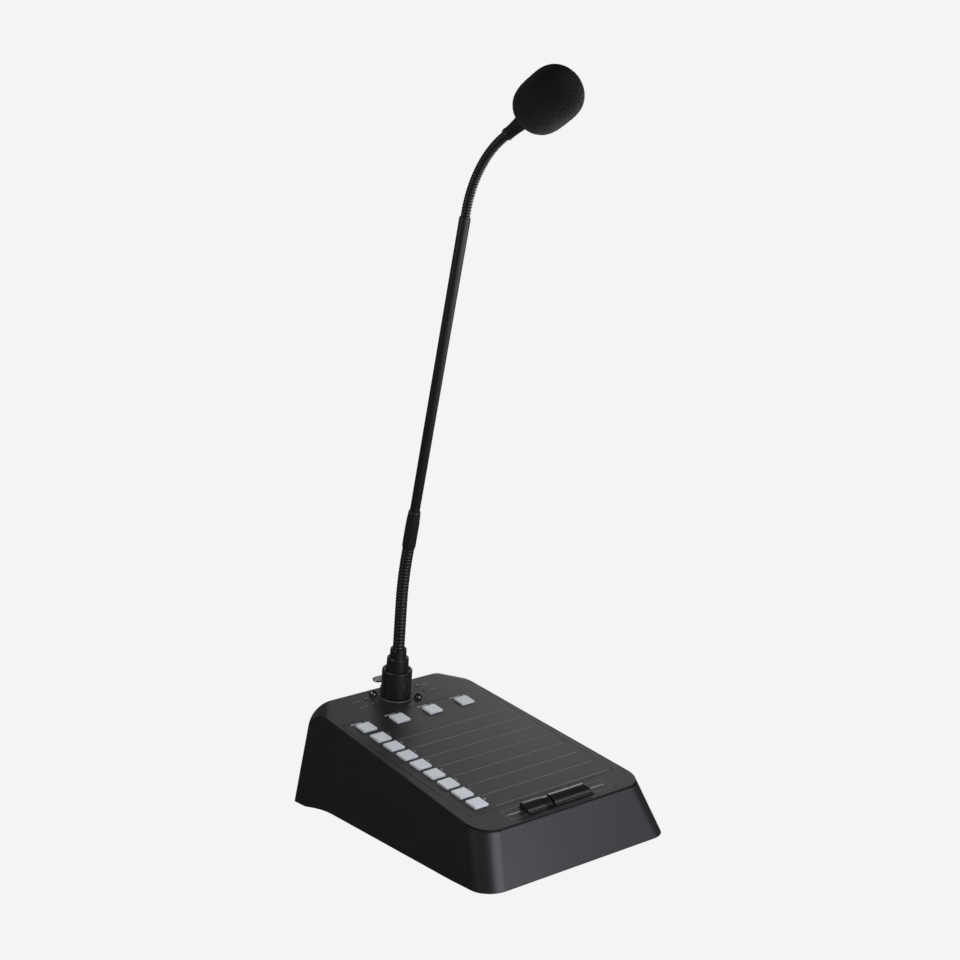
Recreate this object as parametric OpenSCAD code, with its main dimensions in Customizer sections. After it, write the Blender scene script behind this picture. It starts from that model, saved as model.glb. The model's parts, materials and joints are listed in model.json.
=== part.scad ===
// Paging microphone: a wedge-shaped desk base with call keys and two talk keys,
// and a plug-in gooseneck that carries a small microphone in a foam windscreen.
// Frame: origin on the table under the middle of the base, +X right, +Y rear, +Z up.
// Places on the top face run from its front edge, up the slope; heights there are along its normal.

/* [Base] */
// Width of the base at its lower edge
base_w = 148.8; // [140:0.2:170]
// Depth of the base at its lower edge
base_d = 209.6; // [204:0.2:230]
// Height of the top's front edge above the lower edge
front_h = 33.2; // [30:0.2:44]
// Slope of the top, rising to the rear
slope = 9; // [6:0.5:13]
// Lean of the front wall from upright
front_lean = 23; // [12:0.5:25]
// Lean of each side wall from upright
side_lean = 13.6; // [8:0.2:15]
// Lean of the rear wall from upright
rear_lean = 2.6; // [1:0.2:4]
// Thickness of the housing's walls
wall = 2.5; // [2:0.1:3]
// Radius of the upright front corners
corner_r = 14; // [8:0.5:18]
// Radius of the upright rear corners
rear_corner_r = 3.2; // [2.8:0.2:5]
// Radius that rounds the top down into each rear corner
drop_r = 14; // [10:0.5:18]
// Distance from the middle at which that rounding leaves the rear edge
drop_x = 43.7; // [38:0.2:48]
// Distance before the rear edge at which that rounding leaves the side edge
drop_len = 23; // [16:0.5:30]
// Height of the raised lower edge along each side
relief_h = 3.5; // [1:0.1:4]
// Distance before the middle at which that raised edge starts
relief_front = 69.9; // [60:0.1:80]
// Distance behind the middle at which that raised edge is highest
relief_top = 59.9; // [50:0.1:66]
// Distance behind the middle at which that raised edge ends
relief_rear = 89.8; // [84:0.1:94]
// Distance that the lower edge stands above the table
foot_h = 1; // [0.6:0.1:2]

/* [Underside] */
// Height of the bottom plate above the lower edge
plate_up = 4.5; // [4.2:0.1:6]
// Thickness of the bottom plate
plate_t = 1.5; // [1:0.1:2]
// Gap round the bottom plate
plate_gap = 0.4; // [0.3:0.1:1]
// Radius of each rubber foot
foot_r = 7; // [5:0.5:9]
// Distance of the feet from the middle, across
foot_x = 52; // [44:1:54]
// Distance of the feet from the middle, along
foot_y = 78; // [70:1:82]
// Radius of each post for the plate screws
post_r = 4; // [3.5:0.1:5]
// Distance of the posts from the middle, across
post_x = 56; // [55:0.5:57]
// Distance of the posts from the middle, along
post_y = 62; // [55:1:66]
// Radius of the plate screws' shanks
plate_screw_r = 1.5; // [1.2:0.1:2]

/* [Label panel] */
// Width of the label panel
label_w = 115.8; // [112:0.2:117]
// Distance of the label panel from the front edge
label_front = 21; // [20:0.5:22]
// Distance of the label panel's rear edge before the socket's axis
label_back = 20.1; // [19:0.1:21]
// Thickness of the label panel
label_t = 0.8; // [0.5:0.1:1.2]
// Gap round the label panel
label_gap = 0.25; // [0.2:0.05:0.5]

/* [Call keys] */
// Distance between neighbouring zone keys
key_web = 4.3; // [4:0.1:6]
// Height of the keys above the top face
key_proud = 1.2; // [0.9:0.1:2]
// Travel of the keys
key_travel = 0.8; // [0.4:0.1:0.8]
// Gap round each key
key_gap = 0.3; // [0.2:0.05:0.5]
// Rim under the top that keeps each key in
key_rim = 0.9; // [0.6:0.1:1]
// Thickness of that rim
key_rim_t = 0.9; // [0.6:0.1:1.2]
// Distance from the middle to the column of zone keys
zone_x = 45.2; // [44:0.1:46]
// Distance of the frontmost zone key from the front edge
zone_front = 31.3; // [31:0.1:33]
// Distance of the rearmost zone key before the row of group keys
zone_back = 16.3; // [16:0.1:18]
// Distance of the row of group keys before the socket's axis
group_back = 30; // [29:0.1:31]
// Spacing of the group keys
group_pitch = 27; // [24:0.1:29]
// Thickness of the circuit boards
board_t = 1.6; // [1:0.1:2]
// Side of a key switch
switch_s = 6; // [5:0.1:7]
// Height of a key switch's body
switch_h = 3.4; // [2.5:0.1:4]
// Radius of a key switch's plunger
plunger_r = 1.7; // [1.2:0.1:2]
// Height of a key switch's plunger
plunger_h = 1; // [0.6:0.1:1.4]

/* [Talk keys] */
// Distance from the middle to the left end of the short talk key
talk_left = 25.5; // [24:0.1:28]
// Length of the short talk key
talk_short = 14.4; // [10:0.1:18]
// How far the bridge's crest lies below the talk keys' crest
talk_bridge_low = 0.6; // [0.3:0.1:1.5]
// Width of the fixed bridge between the talk keys
talk_bridge = 5; // [4:0.1:7]
// Length of the long talk key
talk_long = 31.4; // [26:0.1:34]
// Gap at the ends of the talk keys
talk_gap = 0.4; // [0.3:0.05:0.6]
// Distance of the talk keys from the front edge
talk_front = 4; // [3.8:0.1:4.4]
// Depth of the talk keys
talk_depth = 10.2; // [9.4:0.1:11]
// Height of the talk keys' crest above the top face
talk_rise = 4.1; // [3:0.1:5]
// Radius of the talk keys' round top
talk_round = 7.2; // [6.5:0.1:9]
// Depth of the front lip of the talk keys
talk_lip = 1.4; // [1:0.1:1.8]
// Height of that lip above the top face
talk_lip_h = 1; // [0.8:0.1:1.4]
// Depth of the talk keys below the top face
talk_below = 5.6; // [5.2:0.1:6.4]
// Turn of a talk key when pressed
talk_press = 5; // [3:0.5:5]
// Radius of the talk keys' pivot pin
talk_pin_r = 1; // [0.8:0.05:1.2]

/* [Socket and plug] */
// Distance of the socket's axis before the top's rear edge
socket_inset = 15.9; // [15:0.1:17]
// Radius of the socket's rim
rim_r = 11.9; // [11.4:0.1:12]
// Height of the socket's rim above the top face
rim_h = 0.6; // [0.3:0.1:1]
// Radius of the socket's bore
socket_bore_r = 9.4; // [9:0.1:10]
// Depth of the socket below the top face
socket_depth = 20; // [18:0.5:22]
// Spacing of the flange screws, across
screw_dx = 24; // [23.8:0.1:25]
// Spacing of the flange screws, along
screw_dy = 19; // [18.8:0.1:20]
// Thickness of the socket's flange
flange_t = 2; // [1.5:0.1:2.5]
// Radius of the flange screws' heads
screw_head_r = 2.8; // [2.2:0.1:3]
// Radius of the flange screws' shanks
screw_r = 1.4; // [1:0.1:1.6]
// Radius of the plug's lowest tier
plug_r = 10.25; // [10:0.05:11]
// Height of the plug's lowest tier
plug_h1 = 20.2; // [16:0.2:24]
// Radius of the plug's middle tier
plug_mid_r = 7.35; // [6.5:0.05:8.5]
// Height of the top of the plug's middle tier
plug_h2 = 28.9; // [26:0.1:31]
// Radius of the plug's top tier
plug_top_r = 5.5; // [5:0.1:6.2]
// Height of the plug's top
plug_h3 = 35.4; // [32:0.1:37]
// Radius of a contact pin
pin_r = 1.2; // [1:0.05:1.3]
// Radius of the circle of contact pins
pin_circle = 4.4; // [4:0.1:4.8]
// Width of the release tab's thumb plate
tab_w = 16.6; // [15:0.2:18]
// Depth of that plate
tab_d = 7.6; // [6:0.1:8]
// Thickness of that plate
tab_t = 1.3; // [1:0.1:1.6]
// Height of that plate's top above the top face
tab_h = 7.7; // [6:0.1:9]
// Distance of that plate's middle behind the tab's pivot
tab_over = 1.7; // [1.5:0.1:2.5]
// Distance of the release tab behind the socket's axis
tab_back = 13.2; // [13:0.1:13.4]

/* [Lamps] */
// Radius of each lamp
lamp_r = 1; // [0.8:0.05:1.3]
// Distance of the lamps from the middle
lamp_x = 21.5; // [20:0.1:24]
// Distance of the rear lamps behind the socket's axis
lamp_rear = 5; // [4:0.1:6]
// Distance of the front lamps before the socket's axis
lamp_front = 3.6; // [3:0.1:5]

/* [Rear connectors] */
// Width of the data socket
data_w = 16; // [15:0.1:17]
// Height of the data socket
data_h = 13.6; // [13:0.1:15]
// Depth of the data socket
data_d = 18; // [16:0.2:21]
// Width of the data socket's mouth
mouth_w = 11.8; // [11.4:0.1:12.2]
// Height of the data socket's mouth
mouth_h = 8; // [7:0.1:8.4]
// Depth of the data socket's mouth
mouth_d = 13; // [11:0.2:14]
// Distance of the data socket from the middle, across
data_x = 22; // [18:0.5:30]
// Width of the supply jack
jack_w = 9; // [8.4:0.1:10]
// Height of the supply jack
jack_h = 11; // [10:0.1:12]
// Depth of the supply jack
jack_d = 14; // [12:0.2:16]
// Radius of the supply jack's bore
jack_bore_r = 2.9; // [2.7:0.05:3.2]
// Radius of the supply jack's middle pin
jack_pin_r = 1; // [0.8:0.05:1.25]
// Distance of the supply jack from the middle, across
jack_x = 20; // [16:0.5:30]

/* [Gooseneck] */
// Outer radius of the lower flexible part's ribs
low_rib_r = 4; // [3.6:0.05:4.4]
// Length of the lower half of the lower flexible part
low_a_len = 31.5; // [24:0.5:40]
// Length of the upper half of the lower flexible part
low_b_len = 42.6; // [34:0.2:50]
// Forward bend of the lower flexible part
low_bend = 9; // [0:0.5:20]
// Spacing of the lower flexible part's ribs
low_pitch = 2.4; // [2:0.05:2.8]
// Spacing of the upper flexible part's ribs
high_pitch = 2; // [1.7:0.05:2.4]
// Height of the ribs
rib_h = 0.5; // [0.3:0.05:0.6]
// Radius of the bore through the neck
neck_bore_r = 2; // [1.5:0.1:2.2]
// Outer radius of the sleeve
sleeve_r = 4.5; // [4.3:0.05:5]
// Length of the sleeve
sleeve_len = 28; // [22:0.5:34]
// Length of the sleeve's tapered upper end
sleeve_taper = 9; // [6:0.5:12]
// Lower radius of the tube
tube_r1 = 3.25; // [3:0.05:3.5]
// Upper radius of the tube
tube_r2 = 3.58; // [3.4:0.02:3.9]
// Length of the sleeve and the tube above the lower flexible part
tube_len = 231.2; // [180:0.2:280]
// Outer radius of the upper flexible part's ribs
high_rib_r = 3; // [2.8:0.05:3.3]
// Length of each half of the upper flexible part
high_half = 33.9; // [26:0.1:40]
// Forward bend of the upper flexible part
high_bend = 44.5; // [20:0.5:60]
// Gap between neighbouring lengths of the neck
neck_gap = 0.3; // [0.3:0.05:0.5]

/* [Microphone head] */
// Length of the ferrule, from the neck to the windscreen
ferrule_len = 23.2; // [20:0.1:30]
// Radius of the ferrule's lip at the neck
ferrule_r1 = 3.95; // [3.6:0.05:4.3]
// Radius of the ferrule at the windscreen
ferrule_r2 = 5; // [4.8:0.05:5.6]
// Length of the ferrule's flare
flare_len = 20; // [14:0.2:20]
// Radius of the microphone capsule
capsule_r = 4.8; // [4.4:0.05:5]
// Length of the microphone capsule's case
capsule_len = 22; // [18:0.2:24]
// Length of the grille on the capsule
grille_len = 6; // [4:0.2:7]
// Diameter of the windscreen
foam_d = 34.1; // [30:0.1:38]
// Length of the windscreen's drum-shaped rear part
foam_rear = 24.6; // [20:0.2:28]
// Length of the windscreen's domed front part
foam_dome = 15.6; // [13:0.2:20]

/* [Hidden] */

$fn = 48;
// Corner steps of the blended housing
hull_fn = 32;
// Overshoot of a cut past a face
cut = 1;
// Clearance of a pin or shank in its hole
run_gap = 0.05;
// Counts that the layout has
zone_count = 8;
group_count = 4;

// Where the top face begins: its front edge
top_front_y = -base_d / 2 + front_h * tan(front_lean);
top_front_z = foot_h + front_h;
top_rear_z = top_front_z + (base_d / 2 - top_front_y) * tan(slope);

// Edges of the wedge at height z, drawn in by an inset
function half_w(z, inset) = base_w / 2 - (z - foot_h) * tan(side_lean) - inset / cos(side_lean);
function front_y(z, inset) = -base_d / 2 + (z - foot_h) * tan(front_lean) + inset / cos(front_lean);
function rear_y(z, inset) = base_d / 2 - (z - foot_h) * tan(rear_lean) - inset / cos(rear_lean);
function top_z(y, inset) = top_front_z + (y - top_front_y) * tan(slope) - inset / cos(slope);

// Layout of the top face, from its front edge up the slope
top_len = (rear_y(top_rear_z, 0) - top_front_y) / cos(slope);
socket_y = top_len - socket_inset;
group_y = socket_y - group_back;
zone_y = group_y - zone_back;
zone_pitch = (zone_y - zone_front) / (zone_count - 1);
label_len = socket_y - label_back - label_front;
drop_y = top_len - drop_len;

// Rear corners: where the rounding starts and the lean of the face below it
drop_start = 1.2;
drop_lean = 20;

// Steps of the raised lower edge's rear curve
relief_steps = 8;

// Underside
plate_z = foot_h + plate_up;
plate_top = plate_z + plate_t;
plate_corner = 9;
plate_screw_head_r = 2 * plate_screw_r;
plate_screw_head_h = 1.4;
plate_screw_grip = 6;

// Keys
zone_keys = [for (i = [0 : zone_count - 1]) [-zone_x, zone_y - i * zone_pitch]];
group_keys = [for (i = [0 : group_count - 1]) [-zone_x + i * group_pitch, group_y]];
keys = concat(zone_keys, group_keys);
key_s = zone_pitch - key_web;
key_hole = key_s + 2 * key_gap;
key_rim_top = -wall - 0.1;
key_foot = key_rim_top - key_rim_t;
key_nub_r = 1.5;
key_nub_h = 0.3;
switch_clear = 0.3;
plunger_top = key_foot - key_nub_h - key_travel - switch_clear;
board_top = plunger_top - plunger_h - switch_h;
board_margin = 6;
board_x1 = -zone_x - board_margin;
board_x2 = -zone_x + (group_count - 1) * group_pitch + board_margin;
board_y1 = zone_front - board_margin;
board_y2 = group_y + board_margin;
boss_r = 2.6;
boss_inset = 2.8;
board_screw_r = 1;
board_screw_head_r = 1.9;
board_screw_head_h = 1.2;
board_screw_grip = 4;
boss_clear = 1.5;
boss_x = [-zone_x + key_s / 2 + key_rim + boss_r + boss_clear, board_x2 - boss_inset];
boss_y = [board_y1 + boss_inset, zone_y - zone_pitch / 2];

// Talk keys
talk_x0 = -talk_left;
talk_x1 = talk_x0 + talk_short;
talk_x2 = talk_x1 + talk_gap;
talk_x3 = talk_x2 + talk_bridge;
talk_x4 = talk_x3 + talk_gap;
talk_x5 = talk_x4 + talk_long;
talk_rear = talk_front + talk_depth;
talk_crest_back = 3;
talk_axis_y = talk_rear - talk_crest_back;
talk_axis_z = talk_rise - talk_round;
talk_pin_back = 2.4;
talk_pin_y = talk_rear - talk_pin_back;
talk_pin_z = -wall - talk_pin_r - talk_gap;
talk_front_gap = 0.8;
talk_rear_gap = 0.5;
talk_tray_t = 1.5;
talk_cheek = 2.5;
talk_switch_h = 2;
talk_plunger_h = 1;
talk_swing = (talk_pin_y - talk_front) * sin(talk_press);
talk_plunger_top = -talk_below - talk_swing - switch_clear;
talk_tray_top = talk_plunger_top - talk_plunger_h - talk_switch_h;
talk_switch_back = 3.4;
talk_switch_y = talk_front + talk_switch_back;
talk_frame_x1 = talk_x0 - talk_gap - talk_cheek;
talk_frame_x2 = talk_x5 + talk_gap + talk_cheek;

// Socket and plug
rim_gap = 0.2;
flange_over = 3;
socket_wall = 1.2;
shank_len = 7;
screw_head_h = 2.7;
screw_dome_r = 2.9;
screw_hex_r = 1.3;
screw_hex_d = 1.2;
socket_screw_spots = [[-screw_dx / 2, screw_dy / 2], [screw_dx / 2, -screw_dy / 2]];
insert_r = socket_bore_r - 1.5;
insert_top = -4;
plug_wall = 1.1;
plug_entry = socket_depth - 7;
plug_entry_r = socket_bore_r - run_gap;
plug_entry_bore = plug_entry_r - plug_wall;
plug_core_z = 3;
plug_chamfer = 0.9;
pin_len = 11;
contact_wall = 0.6;
contact_tail = 5;
contact_angles = [30, 150, 270];
tab_pivot_z = 1.6;
tab_pivot_r = 0.6;
tab_pivot_len = 1.2;
tab_side_gap = 0.3;
tab_stem = 2.4;
tab_stem_t = 1.6;
ear_t = 1.1;
ear_h = 2.6;
ear_d = 2.8;
ear_x = tab_stem / 2 + tab_side_gap;

// Main board and connectors
pillar_h = 6;
pillar_r = 2.5;
main_z = plate_top + pillar_h;
main_top = main_z + board_t;
main_w = 100;
main_d = 72;
main_rear_gap = 3;
main_rear = rear_y(main_z, wall) - main_rear_gap;
pillar_inset = 5;
jack_z = main_top + jack_h / 2;
connector_gap = 0.4;
connector_back = 0.6;
contact_strip_t = 0.6;
jack_back_t = 3;

// Lamps: their domed ends
lamp_dome_r = 1.1;
lamp_sink = 0.5;

// Chamfer at the sleeve's ends
sleeve_edge = 0.5;

// Gooseneck route, from the plug's top
flex_sides = 10;
bore_rings = 10;
low_lead = 2 * low_rib_r;
high_lead = high_rib_r;
low_arc = low_b_len - low_lead - neck_gap;
high_arc = high_half - high_lead - neck_gap;

// Swept hose: lead-in, arc and lead-out, in the plane x = 0, bending to -Y
function bend_radius(arc, bend) = arc / (bend * PI / 180);
function hose_angle(s, lead, arc, bend) = bend * min(max(s - lead, 0), arc) / arc;
function arc_y(arc, bend, a) = bend == 0 ? 0 : -bend_radius(arc, bend) * (1 - cos(a));
function arc_z(arc, bend, a) = bend == 0 ? 0 : bend_radius(arc, bend) * sin(a);
function hose_point(s, lead, arc, bend) =
    let (a = hose_angle(s, lead, arc, bend),
         straight_in = min(s, lead),
         straight_out = max(s - lead - arc, 0),
         run = bend == 0 ? min(max(s - lead, 0), arc) : arc_z(arc, bend, a))
    [0, arc_y(arc, bend, a) - straight_out * sin(a), straight_in + run + straight_out * cos(a)];
function hose_ring(s, r, lead, arc, bend) =
    let (c = hose_point(s, lead, arc, bend), a = hose_angle(s, lead, arc, bend))
    [for (k = [0 : flex_sides - 1])
        let (t = 360 * k / flex_sides)
        c + r * [cos(t), sin(t) * cos(a), sin(t) * sin(a)]];

low_end = hose_point(low_b_len, 0, low_arc, low_bend);
high_mid = hose_point(high_half, high_lead, high_arc, high_bend / 2);
high_end = hose_point(high_half, 0, high_arc, high_bend / 2);

// Ferrule: its lip and the curve of its flare
lip_len = 1.2;
lip_h = 0.25;
flare_power = 1.5;

// Windscreen outline: a drum with a rounded back and a domed front
foam_steps = 7;
foam_rear_power = 4;
foam_dome_power = 2.6;
foam_bore_gap = 0.15;
function foam_r(t, power) = foam_d / 2 * pow(1 - pow(t, power), 1 / power);

module on_top() {
    translate([0, top_front_y, top_front_z]) rotate([slope, 0, 0]) children();
}

module on_socket() {
    on_top() translate([0, socket_y, 0]) children();
}

module after_low_a() {
    on_socket() translate([0, 0, plug_h3 + low_a_len]) children();
}

module after_low_b() {
    after_low_a() translate(low_end) rotate([low_bend, 0, 0]) children();
}

module after_tube() {
    after_low_b() translate([0, 0, tube_len]) children();
}

module after_high_a() {
    after_tube() translate(high_mid) rotate([high_bend / 2, 0, 0]) children();
}

module on_head() {
    after_high_a() translate(high_end) rotate([high_bend / 2, 0, 0]) children();
}

// Outline drawn across the base and swept along X
module across_x(length) {
    rotate([90, 0, 90]) linear_extrude(height = length, center = true) children();
}

module wedge_walls(inset) {
    front_r = max(corner_r - inset, 1);
    rear_r = max(rear_corner_r - inset, 0.3);
    sheet = 0.02;
    hull() {
        for (z = [-foot_h - plate_up, top_rear_z + plate_up], side = [-1, 1]) {
            translate([side * (half_w(z, inset) - front_r), front_y(z, inset) + front_r, z])
                cylinder(h = sheet, r = front_r, $fn = hull_fn);
            translate([side * (half_w(z, inset) - rear_r), rear_y(z, inset) - rear_r, z])
                cylinder(h = sheet, r = rear_r, $fn = hull_fn);
        }
    }
}

module wedge_profile(inset, low) {
    across_x(2 * base_w) polygon([
        [-base_d, low], [base_d, low],
        [base_d, top_z(base_d, inset)], [-base_d, top_z(-base_d, inset)]
    ]);
}

// Rounding of the top down into a rear corner, ending in a face that leans out to meet it
module rear_drop(inset) {
    side_x = half_w(top_z(top_front_y + drop_y * cos(slope), 0), 0);
    turn = atan2(-drop_len, side_x - drop_x);
    reach = 3 * drop_r;
    depth = 2 * top_rear_z;
    lift = 0.03;
    r = drop_r - inset;
    centre = [-drop_start, lift - drop_r];
    touch = centre + (r - lift) * [cos(drop_lean), sin(drop_lean)];
    on_top() translate([drop_x, top_len, 0]) rotate([0, 0, turn]) across_x(6 * drop_r)
        difference() {
            translate([centre[0], -depth]) square([reach, depth + drop_r]);
            translate(centre) circle(r = r);
            polygon([
                [centre[0] - cut, touch[1]], touch,
                touch + 2 * depth * [sin(drop_lean), -cos(drop_lean)], [centre[0] - cut, -3 * depth]
            ]);
        }
}

module wedge(inset, low) {
    difference() {
        intersection() {
            wedge_walls(inset);
            wedge_profile(inset, low);
        }
        for (side = [0, 1]) mirror([side, 0, 0]) rear_drop(inset);
    }
}

module side_relief() {
    across_x(2 * base_w) polygon(concat(
        [[-relief_front, foot_h - cut], [-relief_front, foot_h]],
        [for (k = [0 : relief_steps])
            [relief_top + (relief_rear - relief_top) * k / relief_steps,
             foot_h + relief_h * cos(90 * k / relief_steps)]],
        [[relief_rear, foot_h - cut]]
    ));
}

module at_posts() {
    for (x = [-post_x, post_x], y = [-post_y, post_y]) translate([x, y, 0]) children();
}

module at_bosses() {
    on_top() for (x = boss_x, y = boss_y) translate([x, y, 0]) children();
}

module at_keys() {
    on_top() for (p = keys) translate([p[0], p[1], 0]) children();
}

module at_socket_screws() {
    on_socket() for (p = socket_screw_spots) translate([p[0], p[1], 0]) children();
}

module at_lamps() {
    on_socket() for (x = [-lamp_x, lamp_x], y = [lamp_rear, -lamp_front]) translate([x, y, 0]) children();
}

// Square plate from z1 up to z2, centred
module square_post(side, z1, z2) {
    translate([-side / 2, -side / 2, z1]) cube([side, side, z2 - z1]);
}

module housing_solids() {
    difference() {
        wedge(0, foot_h);
        wedge(wall, -base_d);
    }
    at_posts() translate([0, 0, plate_top]) cylinder(h = top_front_z - plate_top, r = post_r);
    intersection() {
        wedge(wall / 2, foot_h);
        at_posts() translate([0, 0, plate_top]) cylinder(h = top_rear_z, r = post_r);
    }
    at_bosses() translate([0, 0, board_top]) cylinder(h = -board_top - wall / 2, r = boss_r);
}

module housing_cuts() {
    side_relief();
    at_keys() square_post(key_hole, -2 * wall, cut);
    on_top() translate([-label_w / 2 - label_gap, label_front - label_gap, -label_t])
        cube([label_w + 2 * label_gap, label_len + 2 * label_gap, label_t + cut]);
    on_socket() translate([0, 0, -2 * wall]) cylinder(h = 2 * wall + cut, r = rim_r + rim_gap);
    at_socket_screws() translate([0, 0, -2 * wall]) cylinder(h = 2 * wall + cut, r = screw_r + run_gap);
    at_lamps() translate([0, 0, -2 * wall]) cylinder(h = 2 * wall + cut, r = lamp_r + run_gap);
    on_top() translate([talk_x0 - talk_gap, talk_front - talk_front_gap, -2 * wall])
        cube([
            talk_x5 - talk_x0 + 2 * talk_gap, talk_depth + talk_front_gap + talk_rear_gap, 2 * wall + cut
        ]);
    at_posts() translate([0, 0, plate_top - cut])
        cylinder(h = plate_screw_grip + 2 * cut, r = plate_screw_r + run_gap);
    at_bosses() translate([0, 0, board_top - cut])
        cylinder(h = board_screw_grip + 2 * cut, r = board_screw_r + run_gap);
    translate([-data_x - data_w / 2 - connector_gap, 0, main_top - connector_gap])
        cube([data_w + 2 * connector_gap, base_d, data_h + 2 * connector_gap]);
    translate([jack_x - jack_w / 2 - connector_gap, 0, main_top - connector_gap])
        cube([jack_w + 2 * connector_gap, base_d, jack_h + 2 * connector_gap]);
}

module housing() {
    color("#3d3e41") difference() {
        housing_solids();
        housing_cuts();
    }
}

module plate_outline() {
    x = half_w(plate_top, wall) - plate_gap;
    y1 = front_y(plate_top, wall) + plate_gap;
    y2 = rear_y(plate_top, wall) - plate_gap;
    c = plate_corner;
    polygon([
        [-x, y1 + c], [-x + c, y1], [x - c, y1], [x, y1 + c],
        [x, y2 - c], [x - c, y2], [-x + c, y2], [-x, y2 - c]
    ]);
}

module bottom_plate() {
    color("#26272a") difference() {
        translate([0, 0, plate_z]) linear_extrude(height = plate_t) plate_outline();
        at_posts() translate([0, 0, plate_z - cut])
            cylinder(h = plate_t + 2 * cut, r = plate_screw_r + run_gap);
    }
}

module rubber_feet() {
    color("#17171a") for (x = [-foot_x, foot_x], y = [-foot_y, foot_y])
        translate([x, y, 0]) cylinder(h = plate_z, r1 = foot_r - foot_h, r2 = foot_r);
}

module plate_screws() {
    color("#8f9296") at_posts() {
        translate([0, 0, plate_z - plate_screw_head_h])
            cylinder(h = plate_screw_head_h, r = plate_screw_head_r);
        translate([0, 0, plate_z - plate_screw_head_h])
            cylinder(h = plate_screw_head_h + plate_t + plate_screw_grip, r = plate_screw_r);
    }
}

module label_panel() {
    color("#47484b") difference() {
        on_top() translate([-label_w / 2, label_front, -label_t]) cube([label_w, label_len, label_t]);
        at_keys() square_post(key_hole, -label_t - cut, cut);
    }
}

module key_board() {
    color("#1f5138") difference() {
        on_top() translate([board_x1, board_y1, board_top - board_t])
            cube([board_x2 - board_x1, board_y2 - board_y1, board_t]);
        at_bosses() translate([0, 0, board_top - board_t - cut])
            cylinder(h = board_t + 2 * cut, r = board_screw_r + run_gap);
    }
}

module board_screws() {
    color("#9a9da1") at_bosses() {
        translate([0, 0, board_top - board_t - board_screw_head_h])
            cylinder(h = board_screw_head_h, r = board_screw_head_r);
        translate([0, 0, board_top - board_t - board_screw_head_h])
            cylinder(h = board_screw_head_h + board_t + board_screw_grip, r = board_screw_r);
    }
}

module key_switches() {
    color("#202124") at_keys() {
        square_post(switch_s, board_top, board_top + switch_h);
        translate([0, 0, board_top]) cylinder(h = switch_h + plunger_h, r = plunger_r);
    }
}

module call_key(place) {
    color("#b4b8bf") on_top() translate([place[0], place[1], 0]) {
        square_post(key_s, key_foot, key_proud);
        square_post(key_s + 2 * key_rim, key_foot, key_rim_top);
        translate([0, 0, key_foot - key_nub_h]) cylinder(h = key_nub_h + key_rim_t, r = key_nub_r);
    }
}

module at_pillars() {
    for (x = [-main_w / 2 + pillar_inset, main_w / 2 - pillar_inset],
         y = [main_rear - main_d + pillar_inset, main_rear - pillar_inset])
        translate([x, y, 0]) children();
}

module main_board() {
    color("#1f5138") translate([-main_w / 2, main_rear - main_d, main_z]) cube([main_w, main_d, board_t]);
}

module board_pillars() {
    color("#b08d4a") at_pillars() translate([0, 0, plate_top]) cylinder(h = pillar_h, r = pillar_r);
}

module data_socket() {
    face = rear_y(main_top, 0) - connector_back;
    mouth_z = main_top + (data_h - mouth_h) / 2;
    color("#1b1c1f") difference() {
        translate([-data_x - data_w / 2, face - data_d, main_top]) cube([data_w, data_d, data_h]);
        translate([-data_x - mouth_w / 2, face - mouth_d, mouth_z]) cube([mouth_w, mouth_d + cut, mouth_h]);
    }
    color("#c9a44a") translate([-data_x - mouth_w / 2, face - mouth_d, mouth_z])
        cube([mouth_w, mouth_d - 2 * connector_back, contact_strip_t]);
}

module supply_jack() {
    face = rear_y(main_top, 0) - connector_back;
    bore_d = jack_d - jack_back_t;
    color("#1b1c1f") difference() {
        translate([jack_x - jack_w / 2, face - jack_d, main_top]) cube([jack_w, jack_d, jack_h]);
        translate([jack_x, face + cut, jack_z]) rotate([90, 0, 0])
            cylinder(h = bore_d + cut, r = jack_bore_r);
    }
    color("#b9bcc0") translate([jack_x, face - cut, jack_z]) rotate([90, 0, 0])
        cylinder(h = bore_d, r = jack_pin_r);
}

module lamps() {
    color("#2d3030") at_lamps() {
        translate([0, 0, -2 * wall]) cylinder(h = 2 * wall, r = lamp_r);
        intersection() {
            translate([0, 0, -lamp_sink]) sphere(r = lamp_dome_r);
            cylinder(h = lamp_r, r = lamp_r);
        }
    }
}

// Talk keys: places along X are the ends of each piece
module talk_bore(x1, x2) {
    translate([x1 - cut, talk_pin_y, talk_pin_z]) rotate([0, 90, 0])
        cylinder(h = x2 - x1 + 2 * cut, r = talk_pin_r + run_gap);
}

module talk_form(x1, x2, top) {
    intersection() {
        translate([x1, talk_front, -talk_below]) cube([x2 - x1, talk_depth, talk_below + top]);
        translate([x1, talk_axis_y, talk_axis_z - talk_rise + top]) rotate([0, 90, 0])
            cylinder(h = x2 - x1, r = talk_round);
    }
    translate([x1, talk_front, -talk_below]) cube([x2 - x1, talk_lip, talk_below + talk_lip_h]);
    translate([x1, talk_front, -talk_below]) cube([x2 - x1, talk_depth, talk_below]);
}

module talk_key(x1, x2) {
    color("#0b0b0d") on_top() difference() {
        talk_form(x1, x2, talk_rise);
        talk_bore(x1, x2);
    }
}

module talk_key_short() {
    talk_key(talk_x0, talk_x1);
}

module talk_key_long() {
    talk_key(talk_x4, talk_x5);
}

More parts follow.
